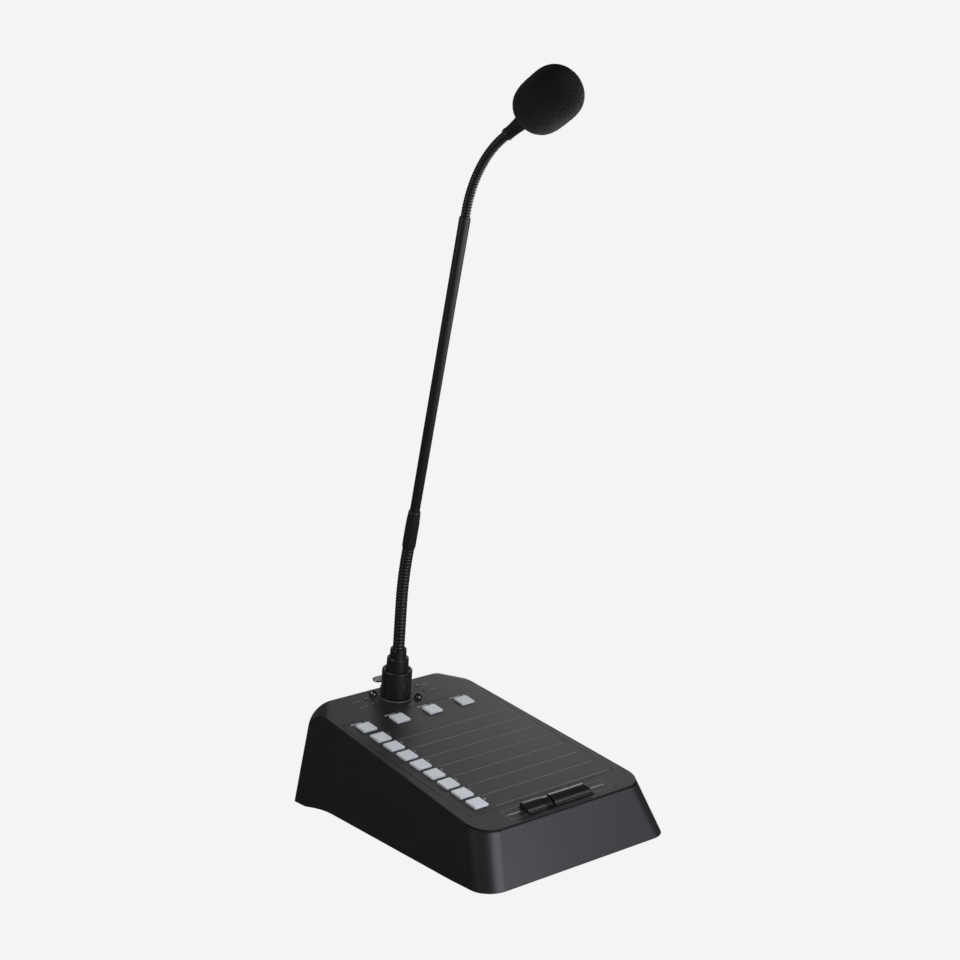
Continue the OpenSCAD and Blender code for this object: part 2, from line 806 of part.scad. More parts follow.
module talk_frame() {
    tray_w = talk_frame_x2 - talk_frame_x1;
    tray_z = talk_tray_top - talk_tray_t;
    tray_d = talk_depth + talk_rear_gap;
    color("#141416") on_top() difference() {
        union() {
            translate([talk_frame_x1, talk_front, tray_z]) cube([tray_w, tray_d, talk_tray_t]);
            for (x = [talk_frame_x1, talk_frame_x2 - talk_cheek])
                translate([x, talk_front, tray_z]) cube([talk_cheek, tray_d, -wall - tray_z]);
            translate([talk_x2, talk_front, tray_z]) cube([talk_bridge, talk_depth, -talk_below - tray_z]);
            talk_form(talk_x2, talk_x3, talk_rise - talk_bridge_low);
        }
        talk_bore(talk_frame_x1, talk_frame_x2);
    }
}

module talk_pin() {
    color("#a7aaae") on_top() translate([talk_frame_x1, talk_pin_y, talk_pin_z]) rotate([0, 90, 0])
        cylinder(h = talk_frame_x2 - talk_frame_x1, r = talk_pin_r);
}

module talk_switches() {
    color("#202124") on_top() for (x = [(talk_x0 + talk_x1) / 2, (talk_x4 + talk_x5) / 2])
        translate([x, talk_switch_y, 0]) {
            square_post(switch_s, talk_tray_top, talk_tray_top + talk_switch_h);
            translate([0, 0, talk_tray_top]) cylinder(h = talk_switch_h + talk_plunger_h, r = plunger_r);
        }
}

// Socket, with a shelf and two ears behind its rim for the release tab
module socket_shell() {
    flange_low = -wall - flange_t;
    rear = tab_back + ear_d / 2;
    ear_out = ear_x + ear_t;
    color("#2a2b2e") on_socket() difference() {
        union() {
            translate([0, 0, -socket_depth]) cylinder(h = socket_depth, r = socket_bore_r + socket_wall);
            translate([0, 0, flange_low]) cylinder(h = rim_h - flange_low, r = rim_r);
            translate([-screw_dx / 2 - flange_over, -screw_dy / 2 - flange_over, flange_low])
                cube([screw_dx + 2 * flange_over, screw_dy + 2 * flange_over, flange_t]);
            translate([-ear_out, 0, run_gap]) cube([2 * ear_out, rear, rim_h - run_gap]);
            for (x = [-ear_out, ear_x])
                translate([x, rear - ear_d, run_gap]) cube([ear_t, ear_d, ear_h - run_gap]);
        }
        translate([0, 0, -socket_depth - cut])
            cylinder(h = socket_depth + rim_h + 2 * cut, r = socket_bore_r);
        for (p = socket_screw_spots) translate([p[0], p[1], flange_low - cut])
            cylinder(h = flange_t + 2 * cut, r = screw_r + run_gap);
        translate([-ear_out - cut, tab_back, tab_pivot_z]) rotate([0, 90, 0])
            cylinder(h = 2 * (ear_out + cut), r = tab_pivot_r + run_gap);
    }
}

module at_contacts() {
    on_socket() for (a = contact_angles) rotate([0, 0, a]) translate([pin_circle, 0, 0]) children();
}

module socket_insert() {
    color("#18181a") difference() {
        on_socket() translate([0, 0, -socket_depth]) {
            cylinder(h = socket_depth + insert_top, r = insert_r);
            cylinder(h = socket_depth - plug_entry - cut, r = socket_bore_r);
        }
        at_contacts() translate([0, 0, -socket_depth - cut])
            cylinder(h = socket_depth + 2 * cut, r = pin_r + contact_wall + 2 * run_gap);
    }
}

module socket_contacts() {
    color("#c9a44a") at_contacts() difference() {
        translate([0, 0, -socket_depth - contact_tail])
            cylinder(h = socket_depth + contact_tail + insert_top, r = pin_r + contact_wall + run_gap);
        translate([0, 0, -socket_depth + cut]) cylinder(h = socket_depth, r = pin_r + run_gap);
    }
}

module socket_screws() {
    color("#0c0c0e") at_socket_screws() {
        translate([0, 0, -shank_len]) cylinder(h = shank_len, r = screw_r);
        difference() {
            intersection() {
                cylinder(h = screw_head_h, r = screw_head_r);
                translate([0, 0, screw_head_h - screw_dome_r]) sphere(r = screw_dome_r);
            }
            translate([0, 0, screw_head_h - screw_hex_d])
                cylinder(h = screw_head_h, r = screw_hex_r, $fn = 6);
        }
    }
}

module plug_shell() {
    c = plug_chamfer;
    z0 = rim_h + 2 * run_gap;
    color("#232326") on_socket() rotate_extrude() polygon([
        [plug_entry_bore, -plug_entry], [plug_entry_r, -plug_entry], [plug_entry_r, z0],
        [plug_r, z0], [plug_r, plug_h1 - c], [plug_r - c, plug_h1],
        [plug_mid_r + c / 3, plug_h1], [plug_mid_r, plug_h2 - c / 2], [plug_mid_r - c / 2, plug_h2],
        [plug_top_r, plug_h2], [plug_top_r, plug_h3 - c / 2], [plug_top_r - c / 2, plug_h3],
        [neck_bore_r, plug_h3], [neck_bore_r, plug_core_z], [plug_entry_bore, plug_core_z]
    ]);
}

module plug_insert() {
    color("#18181a") difference() {
        on_socket() cylinder(h = plug_core_z, r = plug_entry_bore);
        at_contacts() translate([0, 0, -cut]) cylinder(h = plug_core_z + 2 * cut, r = pin_r);
    }
}

module plug_pins() {
    color("#c9a44a") at_contacts() translate([0, 0, -pin_len])
        cylinder(h = pin_len + plug_core_z, r = pin_r);
}

module release_tab() {
    low = tab_pivot_z - tab_pivot_r;
    end = (tab_w - tab_d) / 2;
    color("#c3c5c8") on_socket() translate([0, tab_back, 0]) {
        translate([0, tab_over, tab_h - tab_t]) linear_extrude(height = tab_t) {
            square([2 * end, tab_d], center = true);
            for (x = [-end, end]) translate([x, 0]) circle(d = tab_d);
        }
        translate([-tab_stem / 2, -tab_stem_t / 2, low])
            cube([tab_stem, tab_stem_t, tab_h - tab_t / 2 - low]);
        translate([-tab_stem / 2 - tab_pivot_len, 0, tab_pivot_z]) rotate([0, 90, 0])
            cylinder(h = tab_stem + 2 * tab_pivot_len, r = tab_pivot_r);
    }
}

// Ribbed flexible tube with a bore, made of triangles
module ribbed_hose(length, lead, arc, bend, rib_r, pitch) {
    ribs = floor(length / pitch);
    last = 2 * ribs;
    n = flex_sides;
    outer = [for (i = [0 : last])
        each hose_ring(length * i / last, rib_r - rib_h * (1 - i % 2), lead, arc, bend)];
    inner = [for (i = [0 : bore_rings])
        each hose_ring(length * i / bore_rings, neck_bore_r, lead, arc, bend)];
    first_in = len(outer);
    last_out = n * last;
    last_in = first_in + n * bore_rings;
    faces = concat(
        [for (i = [0 : last - 1], k = [0 : n - 1])
            let (a = n * i + k, b = n * i + (k + 1) % n)
            each [[a, a + n, b], [b, a + n, b + n]]],
        [for (i = [0 : bore_rings - 1], k = [0 : n - 1])
            let (a = first_in + n * i + k, b = first_in + n * i + (k + 1) % n)
            each [[a, b, a + n], [b, b + n, a + n]]],
        [for (k = [0 : n - 1])
            let (j = (k + 1) % n)
            each [[k, j, first_in + k], [j, first_in + j, first_in + k]]],
        [for (k = [0 : n - 1])
            let (j = (k + 1) % n)
            each [[last_out + k, last_in + k, last_out + j], [last_out + j, last_in + k, last_in + j]]]
    );
    polyhedron(points = concat(outer, inner), faces = faces);
}

module lower_flex_a() {
    color("#2c2a2a") on_socket() translate([0, 0, plug_h3])
        ribbed_hose(low_a_len - neck_gap, low_a_len, low_arc, 0, low_rib_r, low_pitch);
}

module lower_flex_b() {
    color("#2c2a2a") after_low_a()
        ribbed_hose(low_b_len - neck_gap, 0, low_arc, low_bend, low_rib_r, low_pitch);
}

module neck_sleeve() {
    bore_r = tube_r1 + (tube_r2 - tube_r1) * sleeve_len / tube_len + run_gap;
    color("#2b2828") after_low_b() rotate_extrude() polygon([
        [bore_r, 0], [sleeve_r - sleeve_edge, 0], [sleeve_r, sleeve_edge],
        [sleeve_r, sleeve_len - sleeve_taper], [sleeve_r - sleeve_edge, sleeve_len - sleeve_edge],
        [sleeve_r - 2 * sleeve_edge, sleeve_len],
        [bore_r, sleeve_len]
    ]);
}

module neck_tube() {
    color("#2b2828") after_low_b() difference() {
        cylinder(h = tube_len, r1 = tube_r1, r2 = tube_r2);
        translate([0, 0, -cut]) cylinder(h = tube_len + 2 * cut, r = neck_bore_r);
    }
}

module upper_flex_a() {
    color("#242326") after_tube()
        ribbed_hose(high_half - neck_gap, high_lead, high_arc, high_bend / 2, high_rib_r, high_pitch);
}

module upper_flex_b() {
    color("#242326") after_high_a()
        ribbed_hose(high_half - neck_gap, 0, high_arc, high_bend / 2, high_rib_r, high_pitch);
}

module head_ferrule() {
    steps = 6;
    waist = ferrule_r1 - lip_h;
    color("#1d1d1f") on_head() rotate_extrude() polygon(concat(
        [[neck_bore_r, 0], [ferrule_r1, 0], [ferrule_r1, lip_len]],
        [for (k = [0 : steps])
            [waist + (ferrule_r2 - waist) * pow(k / steps, flare_power),
             lip_len + lip_h + (flare_len - lip_len - lip_h) * k / steps]],
        [[ferrule_r2, ferrule_len], [neck_bore_r, ferrule_len]]
    ));
}

module capsule_case() {
    color("#2a2a2c") on_head() translate([0, 0, ferrule_len]) difference() {
        cylinder(h = capsule_len, r = capsule_r);
        translate([0, 0, -cut]) cylinder(h = capsule_len - grille_len + cut, r = neck_bore_r);
    }
}

module capsule_grille() {
    hole_r = 0.6;
    color("#55575a") on_head() translate([0, 0, ferrule_len + capsule_len]) difference() {
        cylinder(h = grille_len, r = capsule_r);
        translate([0, 0, -cut]) cylinder(h = grille_len - hole_r + cut, r = capsule_r - 2 * hole_r);
        for (a = [0 : 60 : 300]) rotate([0, 0, a]) translate([capsule_r / 2, 0, 0])
            cylinder(h = grille_len + cut, r = hole_r);
    }
}

module windscreen() {
    bore_r = max(capsule_r, ferrule_r2) + foam_bore_gap;
    depth = capsule_len + grille_len + foam_bore_gap;
    rear_point = [for (k = [0 : foam_steps]) sin(90 * k / foam_steps)];
    color("#1a1a1b") on_head() translate([0, 0, ferrule_len]) difference() {
        rotate_extrude() polygon(concat(
            [[0, 0]],
            [for (k = [foam_steps - 1 : -1 : 0])
                [foam_r(rear_point[k], foam_rear_power), foam_rear * (1 - rear_point[k])]],
            [for (k = [1 : foam_steps - 1])
                [foam_r(rear_point[k], foam_dome_power), foam_rear + foam_dome * rear_point[k]]],
            [[0, foam_rear + foam_dome]]
        ));
        translate([0, 0, -cut]) cylinder(h = depth + cut, r = bore_r);
    }
}

housing();
bottom_plate();
rubber_feet();
plate_screws();
label_panel();
key_board();
board_screws();
key_switches();
main_board();
board_pillars();
data_socket();
supply_jack();
lamps();
talk_frame();
talk_pin();
talk_switches();
socket_shell();
socket_insert();
socket_contacts();
socket_screws();
plug_shell();
plug_insert();
plug_pins();
release_tab();
talk_key_short();
talk_key_long();
for (i = [1 : zone_count]) {
    call_key(zone_keys[i - 1]);
}
for (i = [1 : group_count]) {
    call_key(group_keys[i - 1]);
}
lower_flex_a();
lower_flex_b();
neck_sleeve();
neck_tube();
upper_flex_a();
upper_flex_b();
head_ferrule();
capsule_case();
capsule_grille();
windscreen();
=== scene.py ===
"""Paging microphone: the looks of a desk base with call keys and of its gooseneck microphone."""
import json
import math
from contextlib import contextmanager

import bmesh
import bpy
from bpy.props import FloatProperty, FloatVectorProperty, PointerProperty
from mathutils import Matrix, Vector


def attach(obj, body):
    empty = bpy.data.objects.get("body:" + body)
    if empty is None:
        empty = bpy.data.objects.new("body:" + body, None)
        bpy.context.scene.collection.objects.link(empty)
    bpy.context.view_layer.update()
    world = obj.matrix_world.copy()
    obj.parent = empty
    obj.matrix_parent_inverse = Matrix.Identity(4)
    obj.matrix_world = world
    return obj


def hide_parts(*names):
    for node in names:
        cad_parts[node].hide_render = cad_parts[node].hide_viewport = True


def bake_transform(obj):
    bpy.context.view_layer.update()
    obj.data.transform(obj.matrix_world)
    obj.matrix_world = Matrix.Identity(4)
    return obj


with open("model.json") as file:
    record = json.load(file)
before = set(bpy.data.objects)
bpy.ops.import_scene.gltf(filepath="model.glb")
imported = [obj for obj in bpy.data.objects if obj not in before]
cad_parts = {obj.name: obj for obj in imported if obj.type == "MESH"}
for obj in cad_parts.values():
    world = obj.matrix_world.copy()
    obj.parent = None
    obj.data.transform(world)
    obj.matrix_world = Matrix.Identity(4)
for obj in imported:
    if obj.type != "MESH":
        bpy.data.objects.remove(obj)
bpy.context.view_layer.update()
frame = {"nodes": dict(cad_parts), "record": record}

bl_info = {
    "name": "Paging microphone",
    "version": (1, 0, 0),
    "blender": (4, 5, 0),
    "location": "View3D > Sidebar > Paging microphone",
    "description": "Models the visible pieces of a paging microphone on its solid parts",
    "category": "Object",
}

MM = 0.001
ZONE_COUNT = 8
GROUP_COUNT = 4

# Places on the top, from the socket's axis
LAMP_SPOTS = [(x * 21.5 * MM, y * MM) for x in (-1, 1) for y in (5.0, -3.6)]
SCREW_SPOTS = [(-12.0 * MM, 9.5 * MM), (12.0 * MM, -9.5 * MM)]
# Radii of the round holes in the housing, and the room round the talk keys
SOCKET_HOLE, SCREW_HOLE, LAMP_HOLE = 12.1 * MM, 1.45 * MM, 1.05 * MM
TALK_SLOT_GAP = 0.5 * MM
# The talk keys' pin: bore, distance before their rear and depth below the top
TALK_BORE, TALK_PIN_BACK, TALK_PIN_DOWN = 1.05 * MM, 2.4 * MM, 3.9 * MM
# Corners, in millimetres, of the openings for the data socket and the supply jack
REAR_OPENINGS = (((-30.4, 80, 14.2), (-13.6, 120, 28.6)), ((15.1, 80, 14.2), (24.9, 120, 26.0)))
FOOT_SPOTS = [(x * 52 * MM, y * 78 * MM) for x in (-1, 1) for y in (-1, 1)]
# Numbers of segments in round shapes
FINE, ROUND, SMALL = 96, 56, 24


def length(name, millimetres, description):
    """A length property whose default is given in millimetres."""
    return FloatProperty(name=name, description=description, default=millimetres * MM, unit="LENGTH",
                         precision=5)


def angle(name, degrees, description):
    """An angle property whose default is given in degrees."""
    return FloatProperty(name=name, description=description, default=math.radians(degrees), unit="ROTATION")


def tint(name, value, description):
    """A colour property."""
    return FloatVectorProperty(name=name, description=description, default=value, size=3, min=0, max=1,
                               subtype="COLOR")


def watts(name, value, description):
    """A lamp's power property."""
    return FloatProperty(name=name, description=description, default=value, unit="POWER")


class PagingBase(bpy.types.PropertyGroup):
    """Sizes of the base"""
    width: length("Width", 148.8, "Width at the lower edge")
    depth: length("Depth", 209.6, "Depth at the lower edge")
    front_height: length("Front height", 33.2, "Height of the top's front edge above the lower edge")
    foot_height: length("Foot height", 1.0, "Height of the lower edge above the table")
    slope: angle("Slope", 9.0, "Slope of the top, rising to the rear")
    front_lean: angle("Front lean", 23.0, "Lean of the front wall")
    side_lean: angle("Side lean", 13.6, "Lean of the side walls")
    rear_lean: angle("Rear lean", 2.6, "Lean of the rear wall")
    wall: length("Wall", 2.5, "Thickness of the walls")
    front_corner: length("Front corners", 14.0, "Radius of the upright front corners")
    rear_corner: length("Rear corners", 3.2, "Radius of the upright rear corners")
    edge: length("Top edge", 0.4, "Rounding of the edge round the top")
    groove_top: length("Groove top", 0.1, "Depth of the front groove's upper edge below the top")
    groove_bottom: length("Groove bottom", 1.35, "Depth of its lower edge below the top")
    groove_depth: length("Groove depth", 1.4, "How far the groove goes into the wall")
    # Thickness of the near-black strip in the groove, which is painted shadow.
    shadow_strip: length("Shadow_strip", 0.5, "Thickness of the dark seal in the groove")
    drop_radius: length("Drop radius", 14.0, "Rounding of the top down into the rear corners")
    drop_start: length("Drop start", 1.2, "How far inside its line that rounding starts")
    drop_x: length("Drop across", 43.7, "Where that rounding leaves the rear edge")
    drop_y: length("Drop along", 171.994, "Where that rounding leaves the side edge, up the slope")
    drop_lean: angle("Drop lean", 20.0, "Lean of the face that ends that rounding")
    relief: length("Relief", 3.5, "Height of the raised lower edge at the sides")
    relief_front: length("Relief front", 69.9, "Where the raised edge starts, before the middle")
    relief_top: length("Relief top", 59.9, "Where the raised edge is highest, behind the middle")
    relief_rear: length("Relief rear", 89.8, "Where the raised edge ends, behind the middle")
    label_width: length("Label width", 115.8, "Width of the label panel")
    label_front: length("Label front", 21.0, "Distance of the label panel from the top's front edge")
    label_length: length("Label length", 137.994, "Length of the label panel")
    label_thickness: length("Label thickness", 0.8, "Thickness of the label panel")
    label_gap: length("Label gap", 0.35, "Gap round the label panel")


class PagingKeys(bpy.types.PropertyGroup):
    """Sizes of the keys"""
    side: length("Side", 10.2, "Side of a call key")
    proud: length("Proud", 1.2, "Height of a call key above the top")
    gap: length("Gap", 0.3, "Gap round a call key")
    zone_x: length("Zone keys", 45.2, "Distance of the zone keys from the middle")
    zone_y: length("First zone key", 132.794, "Distance of the rearmost zone key from the top's front edge")
    zone_pitch: length("Zone pitch", 14.5, "Spacing of the zone keys")
    group_y: length("Group keys", 149.094, "Distance of the group keys from the top's front edge")
    group_pitch: length("Group pitch", 27.0, "Spacing of the group keys")
    talk_left: length("Talk keys' left end", 25.5, "Distance of the short key's left end from the middle")
    talk_short: length("Short talk key", 14.4, "Length of the short talk key")
    talk_bridge: length("Bridge", 5.0, "Width of the bridge between the talk keys")
    talk_long: length("Long talk key", 31.4, "Length of the long talk key")
    talk_gap: length("Talk gap", 0.4, "Gap at the ends of the talk keys")
    talk_ease: length("Talk ease", 0.8, "How far the long key's left end stands back from that gap")
    talk_front: length("Talk front", 4.0, "Distance of the talk keys from the top's front edge")
    talk_depth: length("Talk depth", 10.2, "Depth of the talk keys")
    talk_rise: length("Talk rise", 4.1, "Height of the talk keys' crest")
    bridge_low: length("Bridge below", 0.6, "How far the bridge lies below that crest")
    talk_round: length("Talk rounding", 7.2, "Radius of the talk keys' round top")
    talk_slant: length("Talk slant", 3.0, "How far the long key's right end leans in at the crest")
    talk_lip: length("Talk lip", 1.4, "Depth of the talk keys' front lip")
    talk_lip_height: length("Talk lip height", 1.0, "Height of that lip")
    talk_below: length("Talk below", 5.6, "Depth of the talk keys below the top")
    ink_width: length("Ink width", 0.36, "Width of the printed lines")


class PagingNeck(bpy.types.PropertyGroup):
    """Sizes of the plug, the gooseneck and the head"""
    socket_y: length("Socket", 179.094, "Distance of the socket's axis from the top's front edge")
    plug_radius: length("Plug radius", 10.25, "Radius of the plug's lowest tier")
    plug_height: length("Plug height", 20.2, "Height of the plug's lowest tier")
    mid_radius: length("Middle radius", 7.35, "Radius of the plug's middle tier")
    mid_top: length("Middle top", 28.9, "Height of the top of the middle tier")
    tip_radius: length("Tip radius", 5.5, "Radius of the plug's top tier")
    tip_top: length("Tip top", 35.4, "Height of the plug's top")
    low_radius: length("Lower flex radius", 4.0, "Outer radius of the lower flexible part")
    low_a: length("Lower flex, first half", 31.5, "Length of its lower half")
    low_b: length("Lower flex, second half", 42.6, "Length of its upper half")
    low_bend: angle("Lower bend", 9.0, "Forward bend of the lower flexible part")
    high_radius: length("Upper flex radius", 3.0, "Outer radius of the upper flexible part")
    high_half: length("Upper flex half", 33.9, "Length of each half of the upper flexible part")
    high_bend: angle("Upper bend", 44.5, "Forward bend of the upper flexible part")
    gap: length("Gap", 0.3, "Gap between neighbouring lengths of the neck")
    low_pitch: length("Lower coil pitch", 2.4, "Spacing of the lower part's wound turns")
    high_pitch: length("Upper coil pitch", 2.0, "Spacing of the upper part's wound turns")
    coil_depth: length("Coil depth", 0.42, "Depth of the groove between the turns")
    bore: length("Bore", 2.0, "Radius of the bore through the neck")
    sleeve_radius: length("Sleeve radius", 4.5, "Outer radius of the sleeve")
    sleeve_length: length("Sleeve length", 28.0, "Length of the sleeve")
    sleeve_taper: length("Sleeve taper", 9.0, "Length of the sleeve's tapered upper end")
    tube_low: length("Tube low", 3.25, "Lower radius of the tube")
    tube_high: length("Tube high", 3.58, "Upper radius of the tube")
    tube_length: length("Tube length", 231.2, "Length of the tube")
    ferrule_low: length("Ferrule low", 3.95, "Radius of the ferrule's lip at the neck")
    ferrule_high: length("Ferrule high", 5.0, "Radius of the ferrule at the windscreen")
    ferrule_length: length("Ferrule length", 23.2, "Length of the ferrule")
    flare: length("Flare", 20.0, "Length of the ferrule's flare")
    foam_width: length("Windscreen width", 34.1, "Diameter of the windscreen")
    foam_rear: length("Windscreen rear", 24.6, "Length of the windscreen's drum-shaped rear")
    foam_dome: length("Windscreen dome", 15.6, "Length of the windscreen's domed front")
    foam_grain: length("Foam grain", 0.42, "Height of the foam's grain")


class PagingFinish(bpy.types.PropertyGroup):
    """Colours of the finishes"""
    shell: tint("Housing", (0.019, 0.0192, 0.0202), "Moulded housing")
    label: tint("Label", (0.021, 0.0212, 0.0222), "Label film")
    cap: tint("Call keys", (0.87, 0.89, 0.93), "Moulded key caps")
    ink: tint("Ink", (0.26, 0.265, 0.28), "Printed lines")
    marks: tint("Marks", (0.62, 0.63, 0.66), "Printed numbers and marks")
    paint: tint("Neck paint", (0.0168, 0.0155, 0.0142), "Paint of the plug and the neck")
    gloss: tint("Talk keys", (0.007, 0.007, 0.0072), "Glossy black plastic")
    foam: tint("Foam", (0.0100, 0.0099, 0.0100), "Windscreen foam")
    metal: tint("Bright metal", (0.62, 0.62, 0.60), "Release tab and plain screws")
    floor: tint("Floor", (0.905, 0.905, 0.905), "Pale floor")


class PagingStage(bpy.types.PropertyGroup):
    """Camera and light"""
    lens: FloatProperty(name="Lens", description="Focal length for a 36 mm sensor", default=72.64,
                        unit="CAMERA")
    front_power: watts("Front light", 1.66, "Power of the two front lamps")
    left_power: watts("Left light", 0.56, "Power of the left lamp")
    head_power: watts("Head light", 0.36, "Power of the three lamps below the head")
    rear_power: watts("Rear light", 1.5, "Power of the three rear lamps")
    back_power: watts("Back light", 2.2, "Power of the three low lamps behind")
    top_power: watts("Top light", 0.12, "Power of the lamp above the keys")
    ambient: FloatProperty(name="Ambient", description="Strength of the surrounding light", default=0.066)
    floor_glow: FloatProperty(name="Floor glow", description="Light that the floor gives back",
                              default=0.042)


def settings():
    """The sizes of the base, the keys and the neck."""
    scene = bpy.context.scene
    return scene.paging_base, scene.paging_keys, scene.paging_neck


# Modelling tools

def only(obj):
    """Selects one object and makes it active."""
    bpy.ops.object.select_all(action="DESELECT")
    obj.select_set(True)
    bpy.context.view_layer.objects.active = obj


@contextmanager
def editing(obj):
    """Edit mode on one object, back to object mode at the end."""
    only(obj)
    bpy.ops.object.mode_set(mode="EDIT")
    yield
    bpy.ops.object.mode_set(mode="OBJECT")


def pick(obj, kind, test):
    """Selects the vertices, edges or faces that pass a test, in edit mode, and counts them."""
    bpy.ops.mesh.select_all(action="DESELECT")
    bpy.ops.mesh.select_mode(type=kind)
    shape = bmesh.from_edit_mesh(obj.data)
    shape.normal_update()
    sequence = {"VERT": shape.verts, "EDGE": shape.edges, "FACE": shape.faces}[kind]
    chosen = [part for part in sequence if test(part)]
    for part in chosen:
        part.select_set(True)
    shape.select_flush_mode()
    bmesh.update_edit_mesh(obj.data)
    return len(chosen)


def fix_place(obj):
    """Puts an object's place, turn and scale into its mesh."""
    only(obj)
    bpy.ops.object.transform_apply(location=True, rotation=True, scale=True)
    return obj


def put(obj, matrix):
    """Moves a finished mesh to its place in the frame."""
    obj.matrix_world = matrix
    return fix_place(obj)


def block(name, low, high):
    """A box between two corners, ready for shaping."""
    low, high = Vector(low), Vector(high)
    bpy.ops.object.select_all(action="DESELECT")
    bpy.ops.mesh.primitive_cube_add(size=1, location=(low + high) / 2)
    obj = bpy.context.object
    obj.name = name
    obj.scale = high - low
    return fix_place(obj)


def rod(name, radius, start, span, sides=48):
    """A round bar along +Z from a point."""
    bpy.ops.object.select_all(action="DESELECT")
    place = Vector(start) + Vector((0, 0, span / 2))
    bpy.ops.mesh.primitive_cylinder_add(vertices=sides, radius=radius, depth=span, location=place)
    bpy.context.object.name = name
    return fix_place(bpy.context.object)


def bevel(obj, width, segments, test):
    """Rounds the edges that pass a test."""
    with editing(obj):
        if pick(obj, "EDGE", test):
            bpy.ops.mesh.bevel(offset_type="OFFSET", offset=width, segments=segments, profile=0.5,
                               affect="EDGES", clamp_overlap=True)


def modify(obj, kind, **values):
    """Adds a modifier, sets it and applies it."""
    modifier = obj.modifiers.new(kind.lower(), kind)
    for key, value in values.items():
        setattr(modifier, key, value)
    only(obj)
    bpy.ops.object.modifier_apply(modifier=modifier.name)
    return obj


def carve(obj, cutter):
    """Cuts one mesh out of another and removes the cutter."""
    modify(obj, "BOOLEAN", operation="DIFFERENCE", object=cutter, solver="EXACT")
    bpy.data.objects.remove(cutter)
    return obj


def unite(name, *objs):
    """Joins meshes into one piece."""
    only(objs[0])
    for obj in objs[1:]:
        obj.select_set(True)
    if len(objs) > 1:
        bpy.ops.object.join()
    objs[0].name = name
    return objs[0]


def twin(obj, name):
    """A copy with a mesh of its own."""
    only(obj)
    bpy.ops.object.duplicate(linked=False)
    bpy.context.object.name = name
    return bpy.context.object


def spread_out(model, places):
    """Copies of a finished model at several places, which take the model's place."""
    pieces = [put(twin(model, model.name + "_copy"), place) for place in places]
    bpy.data.objects.remove(model)
    return pieces


def smooth(obj, degrees=35):
    """Smooth shading across the soft edges only."""
    only(obj)
    bpy.ops.object.shade_smooth_by_angle(angle=math.radians(degrees))
    return obj


def even_normals(obj, degrees=35):
    """Smooth shading that keeps the large faces flat."""
    smooth(obj, degrees)
    return modify(obj, "WEIGHTED_NORMAL", keep_sharp=True, weight=80)


def rounded(corners, steps=5):
    """Outline through (across, along, radius) corners, each replaced by a curve of about that radius."""
    points = []
    for i, (across, along, radius) in enumerate(corners):
        corner = Vector((across, along))
        if radius <= 0 or i in (0, len(corners) - 1):
            points.append(corner)
            continue
        before = (Vector(corners[i - 1][:2]) - corner)
        after = (Vector(corners[i + 1][:2]) - corner)
        reach = min(radius, before.length * 0.49, after.length * 0.49)
        start = corner + before.normalized() * reach
        end = corner + after.normalized() * reach
        for k in range(steps + 1):
            t = k / steps
            points.append((1 - t) ** 2 * start + 2 * t * (1 - t) * corner + t * t * end)
    return points


def chain(name, points):
    """A chain of edges through points in space."""
    bpy.ops.object.select_all(action="DESELECT")
    bpy.ops.mesh.primitive_plane_add(size=MM)
    obj = bpy.context.object
    obj.name = name
    bpy.ops.object.mode_set(mode="EDIT")
    bpy.ops.mesh.select_mode(type="VERT")
    bpy.ops.mesh.select_all(action="SELECT")
    bpy.ops.mesh.merge(type="CENTER")
    bpy.ops.transform.translate(value=points[0])
    for a, b in zip(points, points[1:]):
        bpy.ops.mesh.extrude_vertices_move(TRANSFORM_OT_translate={"value": Vector(b) - Vector(a)})
    bpy.ops.object.mode_set(mode="OBJECT")
    return obj


def lathe(name, outline, steps=64):
    """An outline of (radius, height) points turned about the Z axis."""
    obj = chain(name, [(p[0], 0, p[1]) for p in outline])
    with editing(obj):
        bpy.ops.mesh.select_all(action="SELECT")
        bpy.ops.mesh.spin(steps=steps, angle=2 * math.pi, center=(0, 0, 0), axis=(0, 0, 1))
        bpy.ops.mesh.select_all(action="SELECT")
        bpy.ops.mesh.remove_doubles(threshold=MM * 0.002)
        bpy.ops.mesh.normals_make_consistent(inside=False)
    return obj


def prism(name, outline, x1, x2):
    """A closed outline of (along, up) points, filled and pulled out from x1 to x2."""
    obj = chain(name, [(x1, p[0], p[1]) for p in outline])
    with editing(obj):
        bpy.ops.mesh.select_all(action="SELECT")
        bpy.ops.mesh.edge_face_add()
        bpy.ops.mesh.extrude_region_move(TRANSFORM_OT_translate={"value": (x2 - x1, 0, 0)})
        bpy.ops.mesh.select_all(action="SELECT")
        bpy.ops.mesh.normals_make_consistent(inside=False)
    return obj


# Places

def half_width(z):
    """Half of the base's width at a height."""
    b = bpy.context.scene.paging_base
    return b.width / 2 - (z - b.foot_height) * math.tan(b.side_lean)


def front_edge(z):
    """Where the front wall stands at a height."""
    b = bpy.context.scene.paging_base
    return -b.depth / 2 + (z - b.foot_height) * math.tan(b.front_lean)


def rear_edge(z):
    """Where the rear wall stands at a height."""
    b = bpy.context.scene.paging_base
    return b.depth / 2 - (z - b.foot_height) * math.tan(b.rear_lean)


def top_place():
    """From the top's own directions, starting at its front edge, to the frame."""
    b = bpy.context.scene.paging_base
    z = b.foot_height + b.front_height
    return Matrix.Translation((0, front_edge(z), z)) @ Matrix.Rotation(b.slope, 4, "X")


def socket_place():
    """From the socket's own directions, on the top, to the frame."""
    return top_place() @ Matrix.Translation((0, bpy.context.scene.paging_neck.socket_y, 0))


